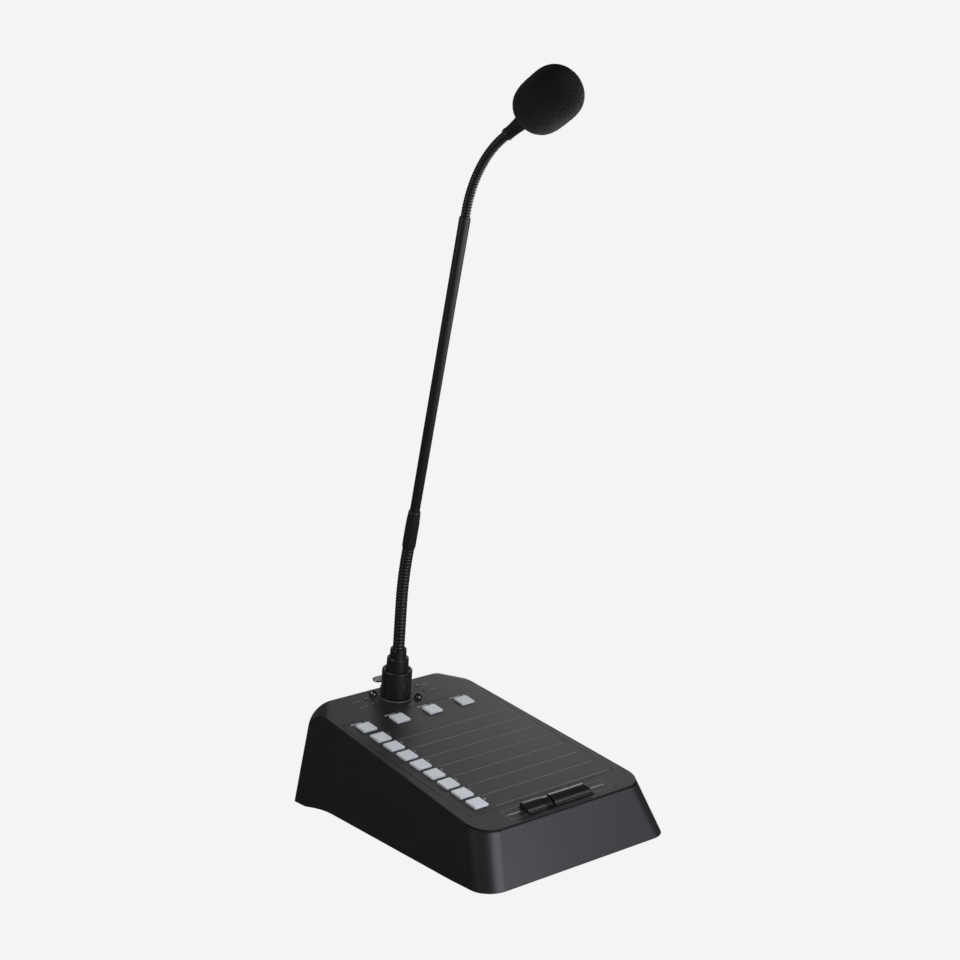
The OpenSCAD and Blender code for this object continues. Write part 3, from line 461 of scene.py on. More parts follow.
def hose_step(s, lead, arc, bend):
    """Place along a length of neck that runs straight, bends forward and runs straight again."""
    turn = bend * min(max(s - lead, 0), arc) / arc
    before, after = min(s, lead), max(s - lead - arc, 0)
    if bend == 0:
        return Matrix.Translation((0, 0, s))
    radius = arc / bend
    y = -radius * (1 - math.cos(turn)) - after * math.sin(turn)
    z = before + radius * math.sin(turn) + after * math.cos(turn)
    return Matrix.Translation((0, y, z)) @ Matrix.Rotation(turn, 4, "X")


def neck_lengths():
    """Lead, arc and bend of each flexible half, with its length."""
    n = bpy.context.scene.paging_neck
    low_arc = n.low_b - 2 * n.low_radius - n.gap
    high_arc = n.high_half - n.high_radius - n.gap
    return {
        "lower_flex_a": (n.low_a, n.low_a, low_arc, 0.0),
        "lower_flex_b": (n.low_b, 0.0, low_arc, n.low_bend),
        "upper_flex_a": (n.high_half, n.high_radius, high_arc, n.high_bend / 2),
        "upper_flex_b": (n.high_half, 0.0, high_arc, n.high_bend / 2),
    }


def neck_places():
    """Where each length of the neck starts."""
    n = bpy.context.scene.paging_neck
    lengths = neck_lengths()
    places = {"lower_flex_a": socket_place() @ Matrix.Translation((0, 0, n.tip_top))}
    places["lower_flex_b"] = places["lower_flex_a"] @ hose_step(*lengths["lower_flex_a"])
    places["tube"] = places["lower_flex_b"] @ hose_step(*lengths["lower_flex_b"])
    places["upper_flex_a"] = places["tube"] @ Matrix.Translation((0, 0, n.tube_length))
    places["upper_flex_b"] = places["upper_flex_a"] @ hose_step(*lengths["upper_flex_a"])
    places["head"] = places["upper_flex_b"] @ hose_step(*lengths["upper_flex_b"])
    return places


def key_spots():
    """Name and place on the top of each call key."""
    k = bpy.context.scene.paging_keys
    zones = [(f"zone_key_{i + 1}", -k.zone_x, k.zone_y - i * k.zone_pitch) for i in range(ZONE_COUNT)]
    groups = [(f"group_key_{i + 1}", -k.zone_x + i * k.group_pitch, k.group_y) for i in range(GROUP_COUNT)]
    return zones + groups


def talk_ends():
    """Left and right ends of the short key, the bridge and the long key."""
    k = bpy.context.scene.paging_keys
    short = (-k.talk_left, -k.talk_left + k.talk_short)
    bridge = (short[1] + k.talk_gap, short[1] + k.talk_gap + k.talk_bridge)
    long = (bridge[1] + k.talk_gap, bridge[1] + k.talk_gap + k.talk_long)
    return short, bridge, long


# Finishes

def finish_nodes(name):
    """A new material with its node tree, its shader and its coordinates."""
    material = bpy.data.materials.new(name)
    material.use_nodes = True
    tree = material.node_tree
    shader = tree.nodes["Principled BSDF"]
    coordinates = tree.nodes.new("ShaderNodeTexCoord")
    return material, tree, shader, coordinates.outputs["Object"]


def noise(tree, vector, scale, detail=2.0, roughness=0.5):
    """A cloudy pattern."""
    node = tree.nodes.new("ShaderNodeTexNoise")
    node.inputs["Scale"].default_value = scale
    node.inputs["Detail"].default_value = detail
    node.inputs["Roughness"].default_value = roughness
    tree.links.new(vector, node.inputs["Vector"])
    return node.outputs["Fac"]


def cells(tree, vector, scale):
    """A pattern of round cells."""
    node = tree.nodes.new("ShaderNodeTexVoronoi")
    node.inputs["Scale"].default_value = scale
    tree.links.new(vector, node.inputs["Vector"])
    return node.outputs["Distance"]


def ramp(tree, value, low, high, start=0.3, end=0.7):
    """A colour between two tints, by a pattern's value."""
    node = tree.nodes.new("ShaderNodeValToRGB")
    node.color_ramp.elements[0].position = start
    node.color_ramp.elements[1].position = end
    node.color_ramp.elements[0].color = (*low, 1)
    node.color_ramp.elements[1].color = (*high, 1)
    tree.links.new(value, node.inputs["Fac"])
    return node.outputs["Color"]


def spread(tree, value, low, high):
    """A number between two limits, by a pattern's value."""
    node = tree.nodes.new("ShaderNodeMapRange")
    node.inputs["To Min"].default_value = low
    node.inputs["To Max"].default_value = high
    tree.links.new(value, node.inputs["Value"])
    return node.outputs["Result"]


def bump(tree, shader, value, strength, distance):
    """Raises the surface by a pattern."""
    node = tree.nodes.new("ShaderNodeBump")
    node.inputs["Strength"].default_value = strength
    node.inputs["Distance"].default_value = distance
    tree.links.new(value, node.inputs["Height"])
    tree.links.new(node.outputs["Normal"], shader.inputs["Normal"])


def shade(colour, factor):
    """A colour made darker or lighter."""
    return tuple(min(c * factor, 1.0) for c in colour)


def moulded(name, colour, rough, grain, depth, vary=0.12, coat=0.0):
    """Moulded plastic: a fine texture, cloudy colour and uneven gloss."""
    material, tree, shader, place = finish_nodes(name)
    clouds = noise(tree, place, 60.0, 3.0)
    texture = noise(tree, place, grain, 2.0, 0.6)
    dark, light = shade(colour, 1 - vary), shade(colour, 1 + vary)
    tree.links.new(ramp(tree, clouds, dark, light), shader.inputs["Base Color"])
    tree.links.new(spread(tree, texture, rough - 0.05, rough + 0.07), shader.inputs["Roughness"])
    bump(tree, shader, texture, 0.35, depth)
    shader.inputs["Coat Weight"].default_value = coat
    shader.inputs["Coat Roughness"].default_value = 0.08
    return material


def painted(name, colour, rough):
    """Satin paint on metal, with a faint orange-peel."""
    material, tree, shader, place = finish_nodes(name)
    clouds = noise(tree, place, 90.0, 3.0)
    peel = noise(tree, place, 1400.0, 2.0)
    tree.links.new(ramp(tree, clouds, shade(colour, 0.93), shade(colour, 1.08)), shader.inputs["Base Color"])
    tree.links.new(spread(tree, peel, rough - 0.03, rough + 0.04), shader.inputs["Roughness"])
    bump(tree, shader, peel, 0.06, 0.00004)
    return material


def metallic(name, colour, rough, grain=(900.0, 60.0, 900.0)):
    """Bare metal with fine drawn lines."""
    material, tree, shader, place = finish_nodes(name)
    mapping = tree.nodes.new("ShaderNodeMapping")
    mapping.inputs["Scale"].default_value = grain
    tree.links.new(place, mapping.inputs["Vector"])
    lines = noise(tree, mapping.outputs["Vector"], 1.0, 4.0)
    tree.links.new(ramp(tree, lines, shade(colour, 0.8), shade(colour, 1.1)), shader.inputs["Base Color"])
    tree.links.new(spread(tree, lines, rough - 0.08, rough + 0.1), shader.inputs["Roughness"])
    bump(tree, shader, lines, 0.15, 0.00002)
    shader.inputs["Metallic"].default_value = 1.0
    return material


def foam_finish(name, colour):
    """Open-cell foam: painted shade darkens the pores, between lighter, rough webs."""
    material, tree, shader, place = finish_nodes(name)
    pores = cells(tree, place, 1500.0)
    webs = noise(tree, place, 2600.0, 3.0, 0.7)
    mix = tree.nodes.new("ShaderNodeMath")
    mix.operation = "MULTIPLY"
    tree.links.new(pores, mix.inputs[0])
    tree.links.new(webs, mix.inputs[1])
    # Colour is darkest in the cells' middles: painted shade in the pores.
    tree.links.new(ramp(tree, mix.outputs["Value"], shade(colour, 0.35), shade(colour, 1.9), 0.08, 0.4),
                   shader.inputs["Base Color"])
    bump(tree, shader, mix.outputs["Value"], 0.9, 0.0005)
    shader.inputs["Roughness"].default_value = 0.95
    shader.inputs["Specular IOR Level"].default_value = 0.25
    shader.inputs["Sheen Weight"].default_value = 0.08
    shader.inputs["Sheen Roughness"].default_value = 0.6
    return material


def circuit(name):
    """Solder mask with copper tracks under it."""
    material, tree, shader, place = finish_nodes(name)
    brick = tree.nodes.new("ShaderNodeTexBrick")
    brick.inputs["Scale"].default_value = 90.0
    brick.inputs["Mortar Size"].default_value = 0.012
    brick.inputs["Color1"].default_value = (0.006, 0.045, 0.022, 1)
    brick.inputs["Color2"].default_value = (0.008, 0.055, 0.028, 1)
    brick.inputs["Mortar"].default_value = (0.03, 0.12, 0.06, 1)
    tree.links.new(place, brick.inputs["Vector"])
    tree.links.new(brick.outputs["Color"], shader.inputs["Base Color"])
    bump(tree, shader, brick.outputs["Fac"], 0.2, 0.00003)
    shader.inputs["Roughness"].default_value = 0.35
    return material


FINISHES = {}


def finishes():
    """Makes each finish once."""
    if FINISHES:
        return FINISHES
    f = bpy.context.scene.paging_finish
    # Plastics have a roughness, a grain, its depth, a change of colour and a coat; the others a roughness
    FINISHES.update({
        "housing": moulded("moulded_housing", f.shell, 0.38, 2400.0, 0.00010),
        "label": moulded("label_film", f.label, 0.38, 3200.0, 0.00005, 0.08),
        "key": moulded("key_cap_plastic", f.cap, 0.38, 2600.0, 0.00003, 0.04),
        "ink": moulded("printing_ink", f.ink, 0.6, 4000.0, 0.00002, 0.15),
        "marks": moulded("marking_ink", f.marks, 0.6, 4000.0, 0.00002, 0.15),
        "talk": moulded("gloss_black_plastic", f.gloss, 0.29, 1500.0, 0.000002, 0.1, 0.45),
        "plug": painted("plug_paint", f.paint, 0.28),
        "neck": painted("neck_paint", f.paint, 0.40),
        "flex": painted("gooseneck_paint", f.paint, 0.37),
        "socket": painted("socket_paint", (0.016, 0.016, 0.017), 0.36),
        "trim": painted("trim_paint", (0.11, 0.11, 0.112), 0.22),
        "screw": metallic("screw_black_nickel", (0.15, 0.15, 0.155), 0.25),
        "plate": painted("plate_paint", (0.012, 0.012, 0.013), 0.5),
        "capsule": painted("capsule_paint", (0.02, 0.02, 0.021), 0.45),
        # Near-black strip in the front groove: painted shadow, darker than the groove's own shade.
        "shadow_strip": moulded("painted_groove_shadow", (0.003, 0.003, 0.0031), 0.8, 1800.0, 0.00005),
        "feet": moulded("foot_rubber", (0.010, 0.010, 0.0105), 0.8, 1800.0, 0.00012),
        "switch": moulded("switch_plastic", (0.012, 0.012, 0.013), 0.5, 1500.0, 0.00004),
        "connector": moulded("connector_plastic", (0.009, 0.009, 0.0095), 0.45, 2000.0, 0.00005),
        "lamp": moulded("lamp_lens", (0.05, 0.051, 0.052), 0.12, 700.0, 0.00001, 0.1, 0.8),
        "steel": metallic("bright_steel", f.metal, 0.28),
        "tab": metallic("tab_steel", f.metal, 0.22, (60.0, 900.0, 900.0)),
        "contact": metallic("gold_contact", (0.72, 0.48, 0.16), 0.25),
        "board": circuit("circuit_board"),
        "foam": foam_finish("windscreen_foam", f.foam),
    })
    return FINISHES


def dress(obj, slot, body, *nodes):
    """Gives a piece its finish and its body, and hides the solids that it stands for."""
    obj.data.materials.clear()
    obj.data.materials.append(finishes()[slot])
    if body:
        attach(obj, body)
    if nodes:
        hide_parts(*nodes)
    return obj


# Pieces

def plane_corner(side):
    """Planes the top's rounding into one rear corner, cut by cut."""
    b = bpy.context.scene.paging_base
    frame_top = top_place()
    rear_z = frame_top.translation.z + (b.depth / 2 - frame_top.translation.y) * math.tan(b.slope)
    rear_line = (rear_edge(rear_z) - frame_top.translation.y) / math.cos(b.slope)
    side_x = half_width((frame_top @ Vector((0, b.drop_y, 0))).z)
    along = Vector((side_x - b.drop_x, b.drop_y - rear_line, 0)).normalized()
    outward = Vector((-along.y, along.x, 0))
    centre = Vector((b.drop_x, rear_line, 0)) - outward * b.drop_start - Vector((0, 0, b.drop_radius))
    steps = 11
    for k in range(1, steps + 1):
        turn = (math.pi / 2 - b.drop_lean) * k / steps
        facing = outward * math.sin(turn) + Vector((0, 0, math.cos(turn)))
        point = centre + facing * b.drop_radius
        facing = frame_top.to_3x3() @ Vector((side * facing.x, facing.y, facing.z))
        point = frame_top @ Vector((side * point.x, point.y, point.z))
        bpy.ops.mesh.select_all(action="SELECT")
        bpy.ops.mesh.bisect(plane_co=point, plane_no=facing, use_fill=True, clear_outer=True)


def cut_groove(shell):
    """Presses the fine groove under the top into the front wall and its corners, and lays a near-black strip
    in it as painted shadow.
    """
    b = bpy.context.scene.paging_base
    top = top_place()
    up = top.to_3x3() @ Vector((0, 0, 1))
    back = top.inverted()
    with editing(shell):
        for depth in (b.groove_top, b.groove_bottom):
            bpy.ops.mesh.select_all(action="SELECT")
            bpy.ops.mesh.bisect(plane_co=top @ Vector((0, 0, -depth)), plane_no=up)

        def band(face):
            place = back @ face.calc_center_median()
            outer = face.normal.y < -0.1 or face.normal.x * place.x > 0
            return outer and -b.groove_bottom < place.z < -b.groove_top and place.y < b.front_corner

        pick(shell, "FACE", band)
        bpy.ops.mesh.extrude_region_shrink_fatten(TRANSFORM_OT_shrink_fatten={"value": -b.groove_depth})
        bpy.ops.mesh.duplicate()
        bpy.ops.mesh.separate(type="SELECTED")
    # The near-black strip in the groove is painted shadow along the top's front edge.
    shadow_strip = [obj for obj in bpy.context.selected_objects if obj != shell][0]
    shadow_strip.name = "groove_shadow_strip"
    modify(shadow_strip, "SOLIDIFY", thickness=b.shadow_strip, offset=1, use_even_offset=True)
    dress(smooth(shadow_strip, 40), "shadow_strip", "base")


def raise_lower_edge(shell):
    """Lifts the lower edge of both side walls in a long curve."""
    b = bpy.context.scene.paging_base
    rear_steps = 8
    stations = [-b.relief_front] + [
        b.relief_top + (b.relief_rear - b.relief_top) * k / rear_steps for k in range(rear_steps + 1)]

    def side_wall(face):
        return abs(face.normal.x) > 0.9

    for y in stations:
        pick(shell, "FACE", side_wall)
        bpy.ops.mesh.bisect(plane_co=(0, y, 0), plane_no=(0, 1, 0))

    def lift(y):
        if y <= b.relief_top:
            return b.relief * (y + b.relief_front) / (b.relief_top + b.relief_front)
        return b.relief * math.cos(math.pi / 2 * (y - b.relief_top) / (b.relief_rear - b.relief_top))

    near, low_band, wall_band = 0.05 * MM, 0.1 * MM, 3 * MM
    for y in stations:
        for side in (-1, 1):
            pick(shell, "VERT", lambda v: abs(v.co.y - y) < near and v.co.z < b.foot_height + low_band
                 and v.co.x * side > b.width / 2 - wall_band)
            bpy.ops.transform.translate(value=(-side * lift(y) * math.tan(b.side_lean), 0, lift(y)))


def shell_cutters():
    """Cutting pieces for the openings in the top, in the top's own directions."""
    b, k, n = settings()
    deep, high = 6 * MM, 4 * MM
    parts = [block("label_recess",
                   (-b.label_width / 2 - b.label_gap, b.label_front - b.label_gap, -b.label_thickness),
                   (b.label_width / 2 + b.label_gap, b.label_front + b.label_length + b.label_gap, high))]
    hole = k.side / 2 + k.gap
    for name, x, y in key_spots():
        parts.append(block("hole_" + name, (x - hole, y - hole, -deep), (x + hole, y + hole, high)))
    short, _, long = talk_ends()
    parts.append(block("talk_slot", (short[0] - k.talk_gap, k.talk_front - TALK_SLOT_GAP, -deep),
                       (long[1] + k.talk_gap, k.talk_front + k.talk_depth + TALK_SLOT_GAP, high)))
    holes = [("socket_hole", SOCKET_HOLE, 0, 0, 48)]
    holes += [("screw_hole", SCREW_HOLE, x, y, SMALL) for x, y in SCREW_SPOTS]
    holes += [("lamp_hole", LAMP_HOLE, x, y, SMALL) for x, y in LAMP_SPOTS]
    for name, radius, x, y, sides in holes:
        parts.append(rod(name, radius, (x, n.socket_y + y, -deep), deep + high, sides))
    return parts


def make_shell():
    """Housing: a wedge with drafted walls, planed rear corners, rounded edges and its openings."""
    b = bpy.context.scene.paging_base
    low = b.foot_height
    front_z = low + b.front_height
    slope = math.tan(b.slope)
    rear_z = front_z + (b.depth / 2 + low * math.tan(b.rear_lean) - front_edge(front_z)) * slope
    rear_z /= 1 + slope * math.tan(b.rear_lean)
    shell = block("base_housing", (-b.width / 2, -b.depth / 2, low), (b.width / 2, b.depth / 2, front_z))
    with editing(shell):
        for side in (-1, 1):
            for end, z, y in ((-1, front_z, front_edge(front_z)), (1, rear_z, rear_edge(rear_z))):
                pick(shell, "VERT", lambda v: v.co.x * side > 0 and v.co.y * end > 0 and v.co.z > low + MM)
                now = Vector((side * b.width / 2, end * b.depth / 2, front_z))
                bpy.ops.transform.translate(value=Vector((side * half_width(z), y, z)) - now)
    upright = 20 * MM
    for end, radius, steps in ((-1, b.front_corner, 12), (1, b.rear_corner, 5)):
        bevel(shell, radius, steps, lambda e: abs(e.verts[0].co.z - e.verts[1].co.z) > upright
              and all(v.co.y * end > 0 for v in e.verts))
    with editing(shell):
        for side in (-1, 1):
            plane_corner(side)
        bpy.ops.mesh.select_all(action="SELECT")
        bpy.ops.mesh.remove_doubles(threshold=0.01 * MM)
    up = top_place().to_3x3() @ Vector((0, 0, 1))
    upward = 0.46

    def at_top_edge(edge):
        sides = [face.normal.dot(up) > upward for face in edge.link_faces]
        return len(sides) == 2 and sides[0] != sides[1]

    bevel(shell, b.edge, 4, at_top_edge)
    with editing(shell):
        pick(shell, "FACE", lambda f: f.normal.z < -0.9)
        bpy.ops.mesh.delete(type="FACE")
        raise_lower_edge(shell)
    modify(shell, "SOLIDIFY", thickness=b.wall, offset=-1, use_even_offset=True)
    cut_groove(shell)
    for cutter in shell_cutters():
        carve(shell, put(cutter, top_place()))
    for corners in REAR_OPENINGS:
        carve(shell, block("rear_opening", *(Vector(corner) * MM for corner in corners)))
    even_normals(shell, 30)
    dress(shell, "housing", "base", "housing")


def make_caps():
    """Call keys: one cap is shaped, then copied to each place."""
    k = bpy.context.scene.paging_keys
    half, skirt = k.side / 2, 3.5 * MM
    corner, edge = 0.3 * MM, 0.16 * MM
    wide, rim_top = half + 0.9 * MM, -2.6 * MM
    nub_radius, nub_low, nub_span = 1.5 * MM, -3.8 * MM, 0.5 * MM
    cap = block("cap", (-half, -half, -skirt), (half, half, k.proud))
    bevel(cap, corner, 3, lambda e: abs(e.verts[0].co.z - e.verts[1].co.z) > MM)
    bevel(cap, edge, 2, lambda e: len(e.link_faces) == 2 and e.calc_face_angle(0) > 0.5
          and min(v.co.z for v in e.verts) > 0)
    rim = block("rim", (-wide, -wide, -skirt), (wide, wide, rim_top))
    nub = rod("nub", nub_radius, (0, 0, nub_low), nub_span, SMALL)
    model = unite("key_cap", cap, rim, nub)
    even_normals(model, 40)
    for name, x, y in key_spots():
        piece = twin(model, name + "_cap")
        put(piece, top_place() @ Matrix.Translation((x, y, 0)))
        dress(piece, "key", name, name)
    bpy.data.objects.remove(model)


def talk_outline(rise):
    """Side view of a talk key: a front lip, a round top and a straight body below."""
    k = bpy.context.scene.paging_keys
    front, rear = k.talk_front, k.talk_front + k.talk_depth
    axis_y, axis_z = rear - 3 * MM, rise - k.talk_round
    lip_round, lip_step, steps = 0.3 * MM, 0.1 * MM, 14
    points = [(front, -k.talk_below), (front, k.talk_lip_height - lip_round),
              (front + lip_round, k.talk_lip_height)]
    start = math.acos((axis_y - front - k.talk_lip) / k.talk_round)
    lip_z = axis_z + k.talk_round * math.sin(start)
    if lip_z > k.talk_lip_height + lip_step:
        points.append((front + k.talk_lip, k.talk_lip_height))
    end = math.pi - math.acos((rear - axis_y) / k.talk_round)
    for i in range(steps + 1):
        turn = start + (end - start) * i / steps
        z = axis_z + k.talk_round * math.sin(turn)
        if z > k.talk_lip_height - 2 * lip_step or rise <= k.talk_lip_height:
            points.append((axis_y - k.talk_round * math.cos(turn), z))
    points += [(rear, -k.talk_below), (front, -k.talk_below)]
    return points


def slant_end(key, x, rise):
    """Leans the right end of a talk key inwards towards its crest."""
    k = bpy.context.scene.paging_keys
    near = 0.01 * MM
    for level in sorted({round(v.co.z, 7) for v in bmesh.from_edit_mesh(key.data).verts}):
        share = (level - k.talk_lip_height) / (rise - k.talk_lip_height)
        if share > 0:
            pick(key, "VERT", lambda v: v.co.x > x - near and abs(v.co.z - level) < near / 10)
            bpy.ops.transform.translate(value=(-k.talk_slant * share ** 1.5, 0, 0))


def make_talk_keys():
    """Talk keys: the short one, the fixed bridge and the long one."""
    k = bpy.context.scene.paging_keys
    short, bridge, long = talk_ends()
    overlap, edge = 0.03 * MM, 0.45 * MM
    jobs = (("talk_short_key", short[0], short[1] - k.talk_ease / 3, k.talk_rise, "talk_key_short"),
            ("talk_bridge", bridge[0] - overlap, bridge[1] + overlap, k.talk_rise - k.bridge_low, None),
            ("talk_long_key", long[0] + k.talk_ease, long[1], k.talk_rise, "talk_key_long"))
    pin = Matrix.Translation((0, k.talk_front + k.talk_depth - TALK_PIN_BACK, -TALK_PIN_DOWN))
    across = Matrix.Rotation(math.pi / 2, 4, "Y")
    for name, x1, x2, rise, node in jobs:
        key = prism(name, talk_outline(rise), x1, x2)
        with editing(key):
            bpy.ops.mesh.select_all(action="SELECT")
            bpy.ops.mesh.remove_doubles(threshold=0.005 * MM)
            if name == "talk_long_key":
                slant_end(key, x2, rise)
        bevel(key, edge, 3, lambda e: abs(e.verts[0].co.x - e.verts[1].co.x) < 0.01 * MM
              and max(v.co.z for v in e.verts) > -2 * MM)
        bore = rod("pin_bore", TALK_BORE, (0, 0, x1 - MM), x2 - x1 + 2 * MM, SMALL)
        carve(key, put(bore, pin @ across))
        even_normals(key, 40)
        put(key, top_place())
        if node:
            dress(key, "talk", node, node)
        else:
            dress(key, "talk", "base")


def make_plug():
    """Plug: three turned tiers with rounded shoulders and a foot that enters the socket."""
    n = bpy.context.scene.paging_neck
    entry, wall, foot, collar, floor = 9.35 * MM, 8.25 * MM, -13 * MM, 0.7 * MM, 3 * MM
    groove, mouth = n.plug_height - 0.8 * MM, n.tip_top - 1.2 * MM
    outline = rounded([
        (wall, foot, 0), (entry, foot, 0.4 * MM), (entry, collar, 0), (n.plug_radius, collar, 0.5 * MM),
        (n.plug_radius, n.plug_height, 1.1 * MM), (n.mid_radius + 0.9 * MM, n.plug_height, 0.3 * MM),
        (n.mid_radius + 0.7 * MM, groove, 0.2 * MM), (n.mid_radius + 0.25 * MM, groove, 0.2 * MM),
        (n.mid_radius + 0.2 * MM, n.plug_height + 1.5 * MM, 0.5 * MM),
        (n.mid_radius, n.mid_top, 0.8 * MM), (n.tip_radius + 0.15 * MM, n.mid_top - 0.2 * MM, 0.3 * MM),
        (n.tip_radius, n.tip_top, 0.8 * MM), (n.low_radius + 0.2 * MM, n.tip_top - 0.1 * MM, 0.2 * MM),
        (n.low_radius, mouth, 0), (n.bore, mouth, 0), (n.bore, floor, 0), (wall, floor, 0), (wall, foot, 0)])
    plug = smooth(lathe("plug_body", outline, FINE), 50)
    dress(put(plug, socket_place()), "plug", "base", "plug_shell")
    inner, low, high = 11.3 * MM, 0.2 * MM, 0.58 * MM
    outline = rounded([
        (inner, high, 0), (11.45 * MM, 0.95 * MM, 0.2 * MM), (11.95 * MM, 0.75 * MM, 0.2 * MM),
        (12.0 * MM, low, 0), (inner, low, 0), (inner, high, 0)], 4)
    trim = smooth(lathe("socket_trim", outline, FINE), 50)
    dress(put(trim, socket_place()), "trim", "base")


def make_screws():
    """Flange screws: domed heads with a six-sided recess."""
    shank, depth, head, dome = 1.4 * MM, -7 * MM, 2.8 * MM, 2.7 * MM
    recess, recess_span, recess_z, turned = 0.8 * MM, 3 * MM, 3.4 * MM, 0.4
    seat, steps = 0.02 * MM, 10
    turns = [t * math.pi / 2 / steps for t in range(1, steps + 1)]
    outline = rounded([(0, depth, 0), (shank, depth, 0.2 * MM), (shank, seat, 0), (head, seat, 0.15 * MM)]
                      + [(head * math.cos(t), dome * math.sin(t), 0) for t in turns], 4)
    screw = lathe("flange_screw", outline, 40)
    carve(screw, rod("recess", recess, (0, 0, recess_z - recess_span / 2), recess_span, 6))
    smooth(screw, 40)
    turn = Matrix.Rotation(turned, 4, "Z")
    places = [socket_place() @ Matrix.Translation((x, y, 0)) @ turn for x, y in SCREW_SPOTS]
    dress(unite("flange_screws", *spread_out(screw, places)), "screw", "base", "socket_screws")


def make_lamps():
    """Lamps: small domed lenses."""
    radius, depth = 1 * MM, -5 * MM
    outline = rounded([(0, depth, 0), (radius, depth, 0.2 * MM), (radius, 0.1 * MM, 0.1 * MM),
                       (0.95 * MM, 0.55 * MM, 0.35 * MM), (0, 0.62 * MM, 0)], 4)
    lens = smooth(lathe("lamp_lens", outline, 28), 50)
    places = [socket_place() @ Matrix.Translation((x, y, 0)) for x, y in LAMP_SPOTS]
    dress(unite("lamp_lenses", *spread_out(lens, places)), "lamp", "base", "lamps")


def make_tube():
    """Sleeve and tube of the neck, turned with rounded ends."""
    n = bpy.context.scene.paging_neck
    place = neck_places()["tube"]
    inner, start = n.tube_low + 0.1 * MM, 0.3 * MM
    outline = rounded([
        (inner, start, 0), (n.sleeve_radius - 0.5 * MM, 0, 0.4 * MM), (n.sleeve_radius, 1.6 * MM, 1.0 * MM),
        (n.sleeve_radius, n.sleeve_length - n.sleeve_taper, 4.0 * MM),
        (n.sleeve_radius - 0.5 * MM, n.sleeve_length - 0.7 * MM, 0.6 * MM),
        (n.sleeve_radius - 1.0 * MM, n.sleeve_length, 0.2 * MM), (inner, n.sleeve_length, 0),
        (inner, start, 0)])
    sleeve = smooth(lathe("sleeve_body", outline, ROUND), 50)
    dress(put(sleeve, place), "neck", "neck", "neck_sleeve")
    mouth, seat = n.high_radius + 0.1 * MM, n.tube_length - 1.5 * MM
    outline = rounded([
        (n.bore, 0, 0), (n.tube_low, 0, 0.2 * MM), (n.tube_high, n.tube_length - 0.9 * MM, 0.5 * MM),
        (n.tube_high - 0.15 * MM, n.tube_length, 0.2 * MM), (mouth, n.tube_length, 0), (mouth, seat, 0),
        (n.bore, seat, 0), (n.bore, 0, 0)])
    tube = smooth(lathe("tube_body", outline, ROUND), 50)
    dress(put(tube, place), "neck", "neck", "neck_tube")


def wound_hose(name, radius, span, pitch):
    """A straight length of wound gooseneck: one turn's outline, screwed up the axis and trimmed."""
    n = bpy.context.scene.paging_neck
    points = []
    steps, round_share, sides, near = 6, 0.96, 28, 0.02 * MM
    for k in range(steps + 1):
        t = 2 * k / steps - 1
        crown = 1 - math.sqrt(max(1 - t * t * round_share, 0))
        points.append((radius - n.coil_depth * crown, 0, (t + 1) / 2 * pitch))
    hose = chain(name, points)
    turns = math.ceil(span / pitch) + 2
    modify(hose, "SCREW", angle=2 * math.pi, screw_offset=pitch, iterations=turns, steps=sides,
           render_steps=sides, use_merge_vertices=True, merge_threshold=near, use_smooth_shade=True)
    hose.data.transform(Matrix.Translation((0, 0, -pitch)))
    with editing(hose):
        bpy.ops.mesh.select_all(action="SELECT")
        bpy.ops.mesh.remove_doubles(threshold=near)
        for z, side in ((0, "clear_inner"), (span, "clear_outer")):
            bpy.ops.mesh.select_all(action="SELECT")
            bpy.ops.mesh.bisect(plane_co=(0, 0, z), plane_no=(0, 0, 1), use_fill=True, **{side: True})
        bpy.ops.mesh.select_all(action="SELECT")
        bpy.ops.mesh.normals_make_consistent(inside=False)
    return hose


def make_hoses():
    """Flexible parts: four wound lengths, bent along the neck's route."""
    n = bpy.context.scene.paging_neck
    places, lengths = neck_places(), neck_lengths()
    jobs = (("lower_flex_a", n.low_radius, n.low_pitch, "base", "neck_link"),
            ("lower_flex_b", n.low_radius, n.low_pitch, "neck_link", "neck"),
            ("upper_flex_a", n.high_radius, n.high_pitch, "neck", "head_link"),
            ("upper_flex_b", n.high_radius, n.high_pitch, "head_link", "head"))
    for node, radius, pitch, near, far in jobs:
        span, lead, arc, bend = lengths[node]
        hose = wound_hose(node.replace("flex", "hose"), radius, span, pitch)
        for vertex in hose.data.vertices:
            x, y, s = vertex.co
            vertex.co = places[node] @ hose_step(s, lead, arc, bend) @ Vector((x, y, 0))
        hose.data.update()
        smooth(hose, 60)
        dress(hose, "flex", None, node)
        end = (places[node] @ hose_step(span, lead, arc, bend)).translation
        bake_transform(hose)


def make_head():
    """Ferrule and foam windscreen."""
    n = bpy.context.scene.paging_neck
    place = neck_places()["head"]
    lip, waist, steps = 1.5 * MM, n.ferrule_low - 0.25 * MM, 10
    shares = [k / steps for k in range(steps + 1)]
    flare = [(waist + (n.ferrule_high - waist) * t ** 1.5, lip + (n.flare - lip) * t, 0) for t in shares]
    outline = rounded(
        [(n.bore, 0, 0), (n.ferrule_low, 0, 0.35 * MM), (n.ferrule_low, 1.2 * MM, 0.2 * MM)] + flare
        + [(n.ferrule_high, n.ferrule_length, 0.3 * MM), (n.bore, n.ferrule_length, 0), (n.bore, 0, 0)])
    ferrule = smooth(lathe("ferrule_body", outline, ROUND), 50)
    dress(put(ferrule, place), "neck", "head", "head_ferrule")
    make_windscreen(place @ Matrix.Translation((0, 0, n.ferrule_length)))


